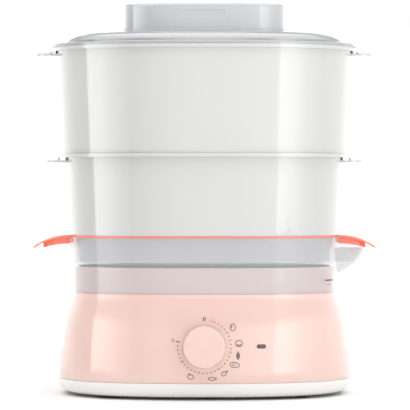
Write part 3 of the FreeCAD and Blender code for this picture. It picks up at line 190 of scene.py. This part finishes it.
class NodeTree:
    """The node tree of a material, of the world or of a shape, built from scratch."""

    def __init__(self, tree):
        self.tree = tree
        tree.nodes.clear()

    def node(self, kind, settings=None, inputs=None, out=0):
        """Adds a node, sets it, feeds its sockets and returns one output."""
        node = self.tree.nodes.new(kind)
        for key, value in (settings or {}).items():
            if key == "stops":
                self.set_stops(node.color_ramp, value)
            else:
                setattr(node, key, value)
        for key, value in (inputs or {}).items():
            if isinstance(value, Value):
                self.tree.links.new(value.socket, node.inputs[key])
            else:
                node.inputs[key].default_value = value
        return Value(self, node.outputs[out])

    @staticmethod
    def set_stops(ramp, stops):
        """Gives a colour ramp its stops, each a position and a colour."""
        while len(ramp.elements) < len(stops):
            ramp.elements.new(1.0)
        for element, (position, shade) in zip(ramp.elements, stops):
            element.position = position
            element.color = (*shade, 1.0)

    def place(self, scale=(1, 1, 1)):
        """Object coordinates, in metres from the steamer's origin."""
        coordinates = self.node("ShaderNodeTexCoord", out="Object")
        return self.node("ShaderNodeMapping", None, {"Vector": coordinates, "Scale": scale})

    def axis(self, vector, name):
        """One part of a vector: X, Y or Z."""
        return self.node("ShaderNodeSeparateXYZ", None, {0: vector}, out=name)

    def noise(self, where, scale, detail=2.0):
        """Soft random patches; a larger scale makes them finer."""
        return self.node("ShaderNodeTexNoise", None, {"Vector": where, "Scale": scale, "Detail": detail})

    def blend(self, factor, first, second):
        """A colour between two colours."""
        ends = {"Factor": factor, 6: first, 7: second}
        return self.node("ShaderNodeMix", {"data_type": "RGBA"}, ends, out=2)

    def bump(self, height, strength, distance):
        """A bumped normal; the distance is in metres."""
        inputs = {"Height": height, "Strength": strength, "Distance": distance}
        return self.node("ShaderNodeBump", None, inputs)

    def ramp(self, value, start, end, settings=None, low=0.0, high=1.0):
        """A value's way from start to end, as a number from low to high."""
        return self.node("ShaderNodeMapRange", settings, {0: value, 1: start, 2: end, 3: low, 4: high})

    def surface(self, inputs):
        """The surface shader and the material's output."""
        self.output("ShaderNodeOutputMaterial", self.node("ShaderNodeBsdfPrincipled", None, inputs))

    def output(self, kind, value, socket="Surface"):
        """Joins a value to the tree's output node."""
        self.tree.links.new(value.socket, self.tree.nodes.new(kind).inputs[socket])


# Finishes
FINISHES = {}


def finish(name):
    """Registers a function that fills in one material."""

    def register_build(build):
        FINISHES[name] = build
        return build

    return register_build


def material(name):
    """The material of a finish, made when it is first asked for."""
    found = bpy.data.materials.get(name)
    if found is None:
        found = bpy.data.materials.new(name)
        found.use_nodes = True
        FINISHES[name](NodeTree(found.node_tree))
    return found


def tinted(shade, factor):
    """A darker or lighter copy of a colour, with its alpha."""
    return (*[min(part * factor, 1.0) for part in shade], 1.0)


def moulded(shader, shade, roughness, coat, peel, extra=None):
    """Injection-moulded plastic: faint flow marks in the colour, uneven polish and a fine peel."""
    where = shader.place()
    flow = shader.noise(where, 14.0, 3.0)
    polish = shader.noise(where, 220.0)
    skin = shader.noise(where, 900.0)
    inputs = {
        "Base Color": shader.blend(flow, tinted(shade, 0.985), tinted(shade, 1.012)),
        "Roughness": polish * (roughness * 0.25) + roughness * 0.88,
        "Normal": shader.bump(skin, peel, 0.0002),
        "IOR": 1.5,
        "Coat Weight": coat,
        "Coat Roughness": 0.02,
    }
    inputs.update(extra or {})
    shader.surface(inputs)


def metal(shader, shade, roughness, stretch):
    """Metal with a drawn or spun grain along one direction."""
    grain = shader.noise(shader.place(stretch), 700.0, 3.0)
    smear = shader.noise(shader.place(), 90.0, 3.0)
    shader.surface({
        "Base Color": shader.blend(smear, tinted(shade, 0.86), tinted(shade, 1.05)),
        "Metallic": 1.0,
        "Roughness": grain * 0.18 + roughness,
        "Normal": shader.bump(grain, 0.08, 0.0002),
    })


@finish("Pink plastic")
def pink_plastic(shader):
    """The base and the knob: glossy opaque plastic."""
    moulded(shader, colours().pink, roughness=0.16, coat=0.8, peel=0.006)


@finish("White bowl plastic")
def white_plastic(shader):
    """The bowls and their floors: very glossy greyish white plastic."""
    moulded(shader, colours().white, roughness=0.14, coat=1.0, peel=0.006)


@finish("Bottom ring plastic")
def ring_plastic(shader):
    """The white ring under the base."""
    moulded(shader, colours().ring, roughness=0.18, coat=0.8, peel=0.008)


@finish("Coral plastic")
def coral_plastic(shader):
    """The tray's frame and wings: a softer gloss."""
    moulded(shader, colours().coral, roughness=0.22, coat=0.3, peel=0.015)


@finish("Smoky clear plastic")
def smoky_plastic(shader):
    """The water tank, which the base shows through."""
    moulded(shader, colours().smoke, roughness=0.16, coat=0.8, peel=0.006, extra={"Alpha": 0.29})


@finish("Smoky basin plastic")
def basin_plastic(shader):
    """The tray's basin, denser than the tank."""
    moulded(shader, colours().smoke, roughness=0.2, coat=0.5, peel=0.006, extra={"Alpha": 0.6})


@finish("Grey lid plastic")
def lid_plastic(shader):
    """Painted shade darkens the dome and painted light makes the grip paler, standing in for how the light
    falls on each.
    """
    height = shader.axis(shader.place(), "Z")
    grip = shader.ramp(height, DOME_TOP_Z * MM, (DOME_TOP_Z + GRIP_PAINTED_LIGHT_FADE) * MM)
    flow = shader.noise(shader.place(), 14.0, 3.0)
    # Painted shade on the dome and painted light on the grip: the grey is lowered below the grip and raised
    # on it
    grey = shader.blend(grip, tinted(colours().lid, 0.9), tinted(colours().lid, 1.17))
    shade = shader.blend(flow * 0.04, grey, (1, 1, 1, 1))
    extra = {"Alpha": 0.94, "Base Color": shade}
    moulded(shader, colours().lid, roughness=0.14, coat=1.0, peel=0.006, extra=extra)


@finish("Pale bead")
def pale_bead(shader):
    """The raised outline on the grip, a little paler than the grip."""
    moulded(shader, (0.62, 0.62, 0.635), roughness=0.3, coat=0.4, peel=0.004)


@finish("Black plastic")
def black_plastic(shader):
    """The small fittings inside the base."""
    moulded(shader, (0.03, 0.03, 0.032), roughness=0.42, coat=0.0, peel=0.1)


@finish("Dial ink")
def dial_ink(shader):
    """Screen-printed ink with a fine speckle."""
    speckle = shader.noise(shader.place(), 1500.0)
    shader.surface({
        "Base Color": shader.blend(speckle, tinted(colours().ink, 0.85), tinted(colours().ink, 1.2)),
        "Roughness": speckle * 0.1 + 0.42,
    })


@finish("Smoked lens")
def smoked_lens(shader):
    """The dark window in front of the lamp."""
    depth = shader.noise(shader.place(), 300.0)
    shader.surface({
        "Base Color": shader.blend(depth, (0.03, 0.022, 0.02, 1), (0.06, 0.045, 0.04, 1)),
        "Roughness": depth * 0.05 + 0.08,
        "Coat Weight": 0.6,
    })


@finish("Foot rubber")
def foot_rubber(shader):
    """Matt black rubber, a little dusty."""
    where = shader.place()
    grain = shader.noise(where, 1200.0, 3.0)
    dust = shader.noise(where, 60.0, 3.0)
    shader.surface({
        "Base Color": shader.blend(dust, (0.035, 0.035, 0.036, 1), (0.055, 0.054, 0.053, 1)),
        "Roughness": grain * 0.2 + 0.7,
        "Normal": shader.bump(grain, 0.2, 0.0003),
    })


@finish("Silicone")
def silicone(shader):
    """The heater's seal."""
    grain = shader.noise(shader.place(), 700.0)
    shader.surface({
        "Base Color": shader.blend(grain, (0.42, 0.4, 0.38, 1), (0.5, 0.48, 0.46, 1)),
        "Roughness": grain * 0.15 + 0.5,
        "Normal": shader.bump(grain, 0.1, 0.0002),
    })


@finish("Lamp glass")
def lamp_glass(shader):
    """The indicator lamp: clear orange glass."""
    glow = shader.noise(shader.place(), 200.0)
    shader.surface({
        "Base Color": shader.blend(glow, (0.85, 0.5, 0.36, 1), (0.95, 0.62, 0.45, 1)),
        "Roughness": glow * 0.03 + 0.04,
        "Alpha": 0.5,
    })


@finish("Drawn steel")
def drawn_steel(shader):
    """Steel plates, shafts and screws, with grain along Y."""
    metal(shader, (0.62, 0.62, 0.63), 0.22, (1, 0.05, 1))


@finish("Fuse metal")
def fuse_metal(shader):
    """The thermal fuse's can, with grain along X."""
    metal(shader, (0.72, 0.7, 0.66), 0.3, (0.05, 1, 1))


@finish("Brass")
def brass(shader):
    """The timer's gear, arbor and pillars, and the terminal screws."""
    metal(shader, (0.78, 0.58, 0.28), 0.2, (1, 1, 0.05))


@finish("Bell chrome")
def bell_chrome(shader):
    """The timer's bell, polished all round."""
    metal(shader, (0.75, 0.75, 0.76), 0.06, (1, 1, 1))


@finish("Spun heater metal")
def heater_metal(shader):
    """Rings round the plate's centre, and a dull heat tint towards its rim."""
    where = shader.place()
    across = shader.axis(where, "X")
    deep = shader.axis(where, "Y") - CENTRE_Y * MM
    radius = (across * across + deep * deep) ** 0.5
    rings = shader.node("ShaderNodeMath", {"operation": "SINE"}, {0: radius * 9000.0})
    tint = shader.ramp(radius, 0.02, 0.045)
    shader.surface({
        "Base Color": shader.blend(tint, (0.68, 0.68, 0.68, 1), (0.5, 0.47, 0.43, 1)),
        "Metallic": 1.0,
        "Roughness": rings * 0.05 + 0.3,
        "Normal": shader.bump(rings, 0.12, 0.0002),
    })


@finish("Studio floor")
def studio_floor(shader):
    """Pale matt paper."""
    tone = shader.noise(shader.place(), 3.0)
    shader.surface({
        "Base Color": shader.blend(tone, (0.9, 0.9, 0.9, 1), (0.91, 0.91, 0.91, 1)),
        "Roughness": tone * 0.05 + 0.6,
        "Specular IOR Level": 0.15,
    })


FINISHED_NODES = {
    "Grey lid plastic": ["lid"],
    "White bowl plastic": ["upper_bowl", "upper_steam_plate", "lower_bowl", "lower_steam_plate"],
    "Coral plastic": ["drip_tray"],
    "Smoky basin plastic": ["drip_basin"],
    "Smoky clear plastic": ["water_tank"],
    "Pink plastic": ["base_housing", "timer_knob"],
    "Bottom ring plastic": ["bottom_cover"],
    "Foot rubber": ["feet", "cord_gland"],
    "Silicone": ["heater_seal"],
    "Spun heater metal": ["heater_plate"],
    "Drawn steel": [
        "heater_element", "heater_clamp_ring", "heater_screws", "thermostat_strap", "cover_screws",
        "timer_front_plate", "timer_back_plate", "timer_shaft", "timer_screws", "timer_mainspring",
        "cord_clamp_screws",
    ],
    "Fuse metal": ["thermal_fuse"],
    "Brass": ["timer_pillars", "timer_gear", "timer_escape_arbor", "terminal_screws"],
    "Bell chrome": ["timer_bell"],
    "Smoked lens": ["indicator_lens"],
    "Lamp glass": ["indicator_lamp"],
    "Black plastic": ["timer_cam", "timer_contacts", "cord_clamp", "terminal_block", "thermostat"],
}
NODE_FINISHES = {node: name for name, nodes in FINISHED_NODES.items() for node in nodes}


class STEAMER_OT_node_finishes(bpy.types.Operator):
    """Give every CAD node its finish"""

    bl_idname = "steamer.node_finishes"
    bl_label = "Node finishes"

    def execute(self, context):
        for name, piece in NODES.items():
            piece.data.materials.clear()
            piece.data.materials.append(material(NODE_FINISHES[name]))
        return {"FINISHED"}


# Making pieces
def plain_mesh(holder):
    """The evaluated object as a plain mesh of its own."""
    depsgraph = bpy.context.evaluated_depsgraph_get()
    return bpy.data.meshes.new_from_object(holder.evaluated_get(depsgraph))


def grown(group, values):
    """The plain mesh that a Geometry Nodes tree makes from its named inputs."""
    holder = bpy.data.objects.new(group.name, bpy.data.meshes.new(group.name))
    bpy.context.scene.collection.objects.link(holder)
    modifier = holder.modifiers.new(group.name, "NODES")
    modifier.node_group = group
    for socket in group.interface.items_tree:
        if socket.in_out == "INPUT" and socket.name in values:
            modifier[socket.identifier] = values[socket.name]
    mesh = plain_mesh(holder)
    holder.modifiers.remove(modifier)
    bpy.data.objects.remove(holder)
    return mesh


def keep(name, bm, finish_name, body, smooth=False):
    """Turns a bmesh in millimetres into a finished piece that rides on a body."""
    bmesh.ops.remove_doubles(bm, verts=bm.verts, dist=1e-4)
    bmesh.ops.recalc_face_normals(bm, faces=bm.faces)
    bmesh.ops.triangulate(bm, faces=[face for face in bm.faces if len(face.verts) > 4])
    bmesh.ops.scale(bm, vec=(MM, MM, MM), verts=bm.verts)
    mesh = bpy.data.meshes.new(name)
    bm.to_mesh(mesh)
    bm.free()
    mesh.polygons.foreach_set("use_smooth", [smooth] * len(mesh.polygons))
    mesh.materials.append(material(finish_name))
    piece = bpy.data.objects.new(name, mesh)
    bpy.context.scene.collection.objects.link(piece)
    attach(piece, body)


def front_of(node, x, z):
    """How far forward a CAD node's surface stands at a point seen from the front, in millimetres."""
    found, place, _, _ = NODES[node].ray_cast(Vector((x, -RAY_START, z)) * MM, Vector((0, 1, 0)))
    if not found:
        raise RuntimeError(f"nothing of {node} lies behind the point {x:.1f}, {z:.1f}")
    return place.y / MM


def round_path(half_x, half_y, steps=24, start=0.0, sweep=360.0):
    """Points round an oval, the last one left out where it closes."""
    last = steps if sweep >= 360.0 else steps - 1
    turns = [math.radians(start + sweep * i / last) for i in range(steps)]
    return [(half_x * math.cos(turn), half_y * math.sin(turn)) for turn in turns]


class FlatArt:
    """Flat marks in millimetres: across, and up from the worktop."""

    # A figure's height as a share of the font's size
    FIGURE_SHARE = 0.7

    def __init__(self):
        self.points = []
        self.faces = []

    def add(self, points, faces, at=(0.0, 0.0), turn=0.0):
        """Adds a shape, turned about its own origin and moved into place."""
        first = len(self.points)
        cos, sin = math.cos(math.radians(turn)), math.sin(math.radians(turn))
        self.points += [(at[0] + cos * x - sin * y, at[1] + sin * x + cos * y) for x, y in points]
        self.faces += [[first + i for i in face] for face in faces]

    def add_mesh(self, mesh, points, at):
        """Adds a flat mesh, whose points are given in millimetres, and drops the mesh."""
        self.add(points, [list(face.vertices) for face in mesh.polygons], at)
        bpy.data.meshes.remove(mesh)

    def line(self, path, width, at=(0.0, 0.0), turn=0.0, closed=False):
        """A ribbon of even width along a path."""
        path = [Vector(point) for point in path]
        count = len(path)
        points = []
        for i, here in enumerate(path):
            before = path[i - 1] if closed or i > 0 else here
            after = path[(i + 1) % count] if closed or i < count - 1 else here
            along = (after - before).normalized()
            out = Vector((-along.y, along.x)) * (width / 2)
            points += [here + out, here - out]
        faces = []
        for i in range(count if closed else count - 1):
            k = (i + 1) % count
            faces.append([2 * i, 2 * i + 1, 2 * k + 1, 2 * k])
        self.add(points, faces, at, turn)

    def text(self, words, height, at):
        """Plain figures from Blender's own font, centred on a point."""
        curve = bpy.data.curves.new("figures", "FONT")
        curve.body = words
        curve.size = height / self.FIGURE_SHARE
        curve.align_x = "CENTER"
        curve.align_y = "CENTER"
        curve.resolution_u = 4
        holder = bpy.data.objects.new("figures", curve)
        bpy.context.scene.collection.objects.link(holder)
        mesh = plain_mesh(holder)
        self.add_mesh(mesh, [(vertex.co.x, vertex.co.y) for vertex in mesh.vertices], at)
        bpy.data.objects.remove(holder)


def printed(name, art, node, body):
    """Wraps flat art on to the front of a CAD node as a thin closed layer of ink."""
    bm = bmesh.new()
    layers = []
    for shift in (-INK_PROUD, INK_SUNK):
        layers.append([bm.verts.new((x, front_of(node, x, z) + shift, z)) for x, z in art.points])
    front, back = layers
    edges = {}
    for face in art.faces:
        bm.faces.new([front[i] for i in face])
        bm.faces.new([back[i] for i in reversed(face)])
        edges.update(dict.fromkeys(zip(face, face[1:] + face[:1])))
    for i, k in edges:
        if (k, i) not in edges:
            bm.faces.new([front[k], front[i], back[i], back[k]])
    keep(name, bm, "Dial ink", body)


# The dial's print
def dot_ring_tree(names):
    """Nodes that set even dots along an arc in the X-Z plane, less the ones that figures replace."""
    group = bpy.data.node_groups.new("Minute dots", "GeometryNodeTree")
    group.interface.new_socket("Geometry", in_out="INPUT", socket_type="NodeSocketGeometry")
    for name, kind in names.items():
        group.interface.new_socket(name, in_out="INPUT", socket_type=kind)
    group.interface.new_socket("Geometry", in_out="OUTPUT", socket_type="NodeSocketGeometry")
    nodes = NodeTree(group)
    given = group.nodes.new("NodeGroupInput")
    value = {name: Value(nodes, given.outputs[name]) for name in names}
    number = nodes.node("GeometryNodeInputIndex")
    angle = value["First angle"] - number * value["Step"]
    place = nodes.node("ShaderNodeCombineXYZ", None, {
        "X": nodes.node("ShaderNodeMath", {"operation": "COSINE"}, {0: angle}) * value["Ring radius"],
        "Z": nodes.node("ShaderNodeMath", {"operation": "SINE"}, {0: angle}) * value["Ring radius"],
    })
    row = nodes.node("GeometryNodeMeshLine", None, {"Count": value["Dots"]})
    ring = nodes.node("GeometryNodeSetPosition", None, {"Geometry": row, "Position": place})
    share = {0: number, 1: value["Dots per figure"]}
    past_figure = nodes.node("ShaderNodeMath", {"operation": "MODULO"}, share)
    is_figure = nodes.node("ShaderNodeMath", {"operation": "LESS_THAN"}, {0: past_figure, 1: 0.5})
    dots = nodes.node("GeometryNodeDeleteGeometry", None, {"Geometry": ring, "Selection": is_figure})
    circle = {"Vertices": DOT_SIDES, "Radius": value["Dot radius"]}
    dot = nodes.node("GeometryNodeMeshCircle", {"fill_type": "NGON"}, circle)
    upright = nodes.node("GeometryNodeTransform", None, {"Geometry": dot, "Rotation": (math.pi / 2, 0, 0)})
    many = nodes.node("GeometryNodeInstanceOnPoints", None, {"Points": dots, "Instance": upright})
    real = nodes.node("GeometryNodeRealizeInstances", None, {"Geometry": many})
    done = nodes.node("GeometryNodeSetMaterial", None, {"Geometry": real, "Material": material("Dial ink")})
    nodes.output("NodeGroupOutput", done, 0)
    return group


def egg_sign(art, at, width):
    """An egg with a highlight."""
    art.line([(x * (1.0 - 0.04 * y), y) for x, y in round_path(2.3, 3.0)], width, at, closed=True)
    art.line(round_path(1.2, 1.6, steps=9, start=100, sweep=110), width, at)


def bun_sign(art, at, width):
    """A round bun with a fold."""
    art.line(round_path(3.0, 2.9), width, at, closed=True)
    art.line(round_path(1.8, 1.6, steps=9, start=200, sweep=140), width * 1.6, at)


def greens_sign(art, at, width):
    """A head of greens, as a stack of bars."""
    for height, half in ((2.9, 0.5), (1.7, 1.2), (0.4, 1.8), (-0.9, 1.8), (-2.2, 1.2), (-3.2, 0.7)):
        art.line([(-half, height), (half, height)], width * 1.7, at)


def loaf_sign(art, at, width):
    """A long loaf with two cuts."""
    art.line(round_path(4.2, 2.3), width, at, turn=-8, closed=True)
    for across in (-1.4, 0.4):
        art.line([(across - 0.5, -1.1), (across + 0.5, 1.1)], width, at, turn=-8)


def drumstick_sign(art, at, width):
    """A drumstick: an oval with a bone."""
    art.line(round_path(2.3, 1.7), width, at, turn=35, closed=True)
    art.line([(2.3, 0.0), (4.3, 0.3)], width * 1.7, at, turn=35)


def fish_sign(art, at, width):
    """A fish: an oval, a tail and a snout."""
    art.line(round_path(2.8, 1.4), width, at, closed=True)
    art.line([(2.6, 0.0), (3.9, 1.0), (3.9, -1.0), (2.6, 0.0)], width, at)
    art.line([(-3.6, 0.0), (-2.6, 0.0)], width, at)


def dumpling_sign(art, at, width):
    """A dumpling with a pinched top."""
    art.line(round_path(2.7, 1.9), width, at, turn=-12, closed=True)
    art.line([(-2.0, 1.4), (-1.4, 3.2), (0.4, 1.9)], width, at)


# Each food sign, with its angle round the knob and its distance from the knob's middle
FOOD_SIGNS = [
    (egg_sign, 34.0, 30.0), (bun_sign, 5.0, 30.4), (greens_sign, -14.5, 30.4), (loaf_sign, -31.0, 30.8),
    (drumstick_sign, -54.0, 29.0), (fish_sign, -76.5, 28.6), (dumpling_sign, -114.5, 28.9),
]


class STEAMER_OT_dial_print(bpy.types.Operator):
    """Print the minute dots, figures and food signs round the knob"""

    bl_idname = "steamer.dial_print"
    bl_label = "Dial print"

    def execute(self, context):
        self.ring = sizes().dial_radius / MM
        self.width = sizes().stroke / MM
        art = FlatArt()
        self.dots(art)
        self.figures(art)
        self.marks(art)
        for sign, angle, radius in FOOD_SIGNS:
            sign(art, self.at(angle, radius), self.width * 0.8)
        printed("dial_print", art, "base_housing", "base")
        return {"FINISHED"}

    def at(self, angle, radius):
        """A point of the dial, from its angle and its distance from the knob's middle."""
        turn = math.radians(angle)
        return (radius * math.cos(turn), DIAL_Z + radius * math.sin(turn))

    def dots(self, art):
        """The ring of minute dots."""
        kinds = dict.fromkeys(("Ring radius", "Dot radius", "First angle", "Step"), "NodeSocketFloat")
        kinds.update(dict.fromkeys(("Dots", "Dots per figure"), "NodeSocketInt"))
        mesh = grown(dot_ring_tree(kinds), {
            "Ring radius": sizes().dial_radius,
            "Dot radius": sizes().dot_radius,
            "First angle": math.radians(FIRST_FIGURE_ANGLE),
            "Step": math.radians(DOT_STEP),
            "Dots": DOT_COUNT,
            "Dots per figure": DOTS_PER_FIGURE,
        })
        points = [(vertex.co.x / MM, vertex.co.z / MM) for vertex in mesh.vertices]
        art.add_mesh(mesh, points, (0.0, DIAL_Z))

    def figures(self, art):
        """The minutes, each in place of one dot."""
        for i, words in enumerate(FIGURES):
            angle = FIRST_FIGURE_ANGLE - i * DOTS_PER_FIGURE * DOT_STEP
            art.text(words, FIGURE_HEIGHT, self.at(angle, self.ring))

    def marks(self, art):
        """A dash and a nought where the knob rests, and the two short bars over the dial."""
        dash = [self.at(OFF_ANGLE, self.ring + out) for out in (OFF_DASH_IN, OFF_DASH_OUT)]
        art.line(dash, self.width * 1.2)
        art.text("0", OFF_FIGURE_HEIGHT, self.at(OFF_ANGLE, self.ring + OFF_FIGURE_OUT))
        top = DIAL_Z + self.ring
        for side in (-BAR_SIDE, BAR_SIDE):
            art.line([(side, top + BAR_IN), (side, top + BAR_OUT)], self.width * 1.1)


class STEAMER_OT_water_level(bpy.types.Operator):
    """Print the water level's dash and short line on the tank"""

    bl_idname = "steamer.water_level"
    bl_label = "Water level"

    def execute(self, context):
        art = FlatArt()
        self.dash(art, LEVEL_X, LEVEL_Z, LEVEL_LENGTH, LEVEL_WIDTH)
        under = (LEVEL_X + UNDERLINE_SHIFT, LEVEL_Z - UNDERLINE_DROP)
        self.dash(art, *under, UNDERLINE_LENGTH, UNDERLINE_WIDTH)
        printed("water_level_mark", art, "water_tank", "base")
        return {"FINISHED"}

    def dash(self, art, x, z, across, width):
        """A level line in short steps, so that it follows the tank's curve."""
        path = [(x - across / 2 + across * i / LEVEL_STEPS, z) for i in range(LEVEL_STEPS + 1)]
        art.line(path, width)


class STEAMER_OT_grip_panel(bpy.types.Operator):
    """Make the raised outline of the blank panel on the lid's grip"""

    bl_idname = "steamer.grip_panel"
    bl_label = "Grip panel"

    def execute(self, context):
        bm = bmesh.new()
        path = self.outline()
        rings = []
        for i, here in enumerate(path):
            along = (path[(i + 1) % len(path)] - path[i - 1]).normalized()
            rings.append(self.bead_ring(bm, here, Vector((along.y, -along.x))))
        for i, ring in enumerate(rings):
            after = rings[(i + 1) % len(rings)]
            for k in range(BEAD_SIDES):
                n = (k + 1) % BEAD_SIDES
                bm.faces.new([ring[k], ring[n], after[n], after[k]])
        keep("grip_panel_outline", bm, "Pale bead", "cover_lid", True)
        return {"FINISHED"}

    def outline(self):
        """The bead's middle line, as points across and up."""
        middle = LID_HIGH.z - PANEL_DROP
        path = []
        for x_side, z_side, start in ((1, 1, 0), (-1, 1, 90), (-1, -1, 180), (1, -1, 270)):
            x = x_side * (PANEL_HALF_WIDTH - PANEL_CORNER)
            z = middle + z_side * (PANEL_HALF_HEIGHT - PANEL_CORNER)
            for i in range(CORNER_STEPS + 1):
                turn = math.radians(start + 90 * i / CORNER_STEPS)
                path.append(Vector((x + PANEL_CORNER * math.cos(turn), z + PANEL_CORNER * math.sin(turn))))
        return path

    def bead_ring(self, bm, here, out):
        """One section of the bead, flattened on to the grip's front."""
        y = front_of("lid", here.x, here.y)
        ring = []
        for k in range(BEAD_SIDES):
            turn = math.tau * k / BEAD_SIDES
            side = out * (BEAD_RADIUS * math.cos(turn))
            rise = BEAD_RADIUS * BEAD_PROUD * math.sin(turn)
            ring.append(bm.verts.new((here.x + side.x, y - rise, here.y + side.y)))
        return ring


# The room's light: degrees round the steamer, to the right from the camera's side, and a brightness there.
# The rows are the back on the left, the left softbox, the front, the right softbox and the back on the right
AZIMUTH_LIGHT = [
    (-180, 0.4), (-130, 0.36), (-104, 0.2), (-79.5, 0.08),
    (-78.5, 0.82), (-62, 0.7), (-48, 0.4), (-32, 0.08),
    (0, 0.38), (32.5, 0.52),
    (33.5, 1.0), (46, 0.82), (62, 0.46),
    (84, 0.28), (110, 0.3), (180, 0.4),
]
STUDIO_POWER = 4.2
ZENITH_LIGHT = 1.4
FLOOR_REACH = 1.1

# Heights on a unit sphere: where the softboxes fade out upwards, and where the ceiling's light comes in
BOXES_FADE = (0.2, 0.36)
LIGHT_OVER_BOXES = 0.3
CEILING_FADE = (0.5, 0.78)

# The lens is level, and the frame is shifted so that the horizon falls on its row
CAMERA_SIDE = 0.00064
CAMERA_HEIGHT = 0.1777
HORIZON_ROW, MIDDLE_ROW, FRAME_ROWS = 197.0, 205.0, 410.0
SENSOR_WIDTH = 36.0
CAMERA_REACH = 100.0


class STEAMER_OT_stage(bpy.types.Operator):
    """Make the pale floor, the soft studio light and the camera"""

    bl_idname = "steamer.stage"
    bl_label = "Stage"

    def execute(self, context):
        self.floor(context.scene)
        self.studio(context.scene)
        self.camera(context.scene)
        return {"FINISHED"}

    def floor(self, scene):
        """A pale square under the steamer."""
        sides = ((-1, -1), (1, -1), (1, 1), (-1, 1))
        corners = [(x * FLOOR_REACH, y * FLOOR_REACH, 0) for x, y in sides]
        mesh = bpy.data.meshes.new("studio_floor")
        mesh.from_pydata(corners, [], [(0, 1, 2, 3)])
        mesh.materials.append(material("Studio floor"))
        floor = bpy.data.objects.new("studio_floor", mesh)
        scene.collection.objects.link(floor)

    def studio(self, scene):
        """A white room with two tall softboxes; the camera itself sees plain white behind the object."""
        scene.view_settings.view_transform = "Standard"
        world = bpy.data.worlds.new("Studio")
        scene.world = world
        world.use_nodes = True
        sky = NodeTree(world.node_tree)
        ray = sky.node("ShaderNodeTexCoord", out="Generated")
        across, deep, height = (sky.axis(ray, name) for name in ("X", "Y", "Z"))
        azimuth = sky.node("ShaderNodeMath", {"operation": "ARCTAN2"}, {0: across, 1: 0.0 - deep})
        stops = [((angle + 180) / 360, (light, light, light)) for angle, light in AZIMUTH_LIGHT]
        boxes = sky.node("ShaderNodeValToRGB", {"stops": stops}, {"Fac": azimuth / math.tau + 0.5})
        smooth = {"interpolation_type": "SMOOTHSTEP"}
        boxes_end = sky.ramp(height, *BOXES_FADE, smooth, 1.0, LIGHT_OVER_BOXES)
        ceiling = sky.ramp(height, *CEILING_FADE, smooth)
        level = sky.node("ShaderNodeRGBToBW", None, {0: boxes}) * STUDIO_POWER
        light = level * boxes_end + ceiling * ZENITH_LIGHT
        seen = sky.node("ShaderNodeLightPath", out="Is Camera Ray")
        strength = light * (1.0 - seen) + seen
        background = sky.node("ShaderNodeBackground", None, {"Color": (1, 1, 1, 1), "Strength": strength})
        sky.output("ShaderNodeOutputWorld", background)

    def camera(self, scene):
        """A long lens straight in front, shifted so that the horizon falls on its row."""
        distance = sizes().camera_distance
        data = bpy.data.cameras.new("Camera")
        data.sensor_width = SENSOR_WIDTH
        data.lens = SENSOR_WIDTH * distance / sizes().view_width
        data.shift_y = (HORIZON_ROW - MIDDLE_ROW) / FRAME_ROWS
        data.clip_end = CAMERA_REACH
        camera = bpy.data.objects.new("Camera", data)
        scene.collection.objects.link(camera)
        camera.location = (CAMERA_SIDE, CENTRE_Y * MM - distance, CAMERA_HEIGHT)
        camera.rotation_euler = (math.pi / 2, 0, 0)
        scene.camera = camera


class STEAMER_PT_panel(bpy.types.Panel):
    """Buttons for the steamer's pieces"""

    bl_label = "Food Steamer"
    bl_idname = "STEAMER_PT_panel"
    bl_space_type = "VIEW_3D"
    bl_region_type = "UI"
    bl_category = "Steamer"

    def draw(self, context):
        for step in STEPS:
            self.layout.operator(step.bl_idname)
        for group in (context.scene.steamer_sizes, context.scene.steamer_colours):
            for name in group.bl_rna.properties.keys():
                if name not in ("rna_type", "name"):
                    self.layout.prop(group, name)


STEPS = [
    STEAMER_OT_node_finishes, STEAMER_OT_dial_print, STEAMER_OT_water_level, STEAMER_OT_grip_panel,
    STEAMER_OT_stage,
]
CLASSES = [SteamerSizes, SteamerColours, *STEPS, STEAMER_PT_panel]


def register():
    """Registers the classes and hangs the sizes and colours on the scene."""
    for cls in CLASSES:
        bpy.utils.register_class(cls)
    bpy.types.Scene.steamer_sizes = bpy.props.PointerProperty(type=SteamerSizes)
    bpy.types.Scene.steamer_colours = bpy.props.PointerProperty(type=SteamerColours)


def unregister():
    """Takes back what register did."""
    del bpy.types.Scene.steamer_sizes
    del bpy.types.Scene.steamer_colours
    for cls in reversed(CLASSES):
        bpy.utils.unregister_class(cls)


def main():
    register()
    for step in STEPS:
        group, _, call = step.bl_idname.partition(".")
        getattr(getattr(bpy.ops, group), call)()


if __name__ == "__main__":
    main()
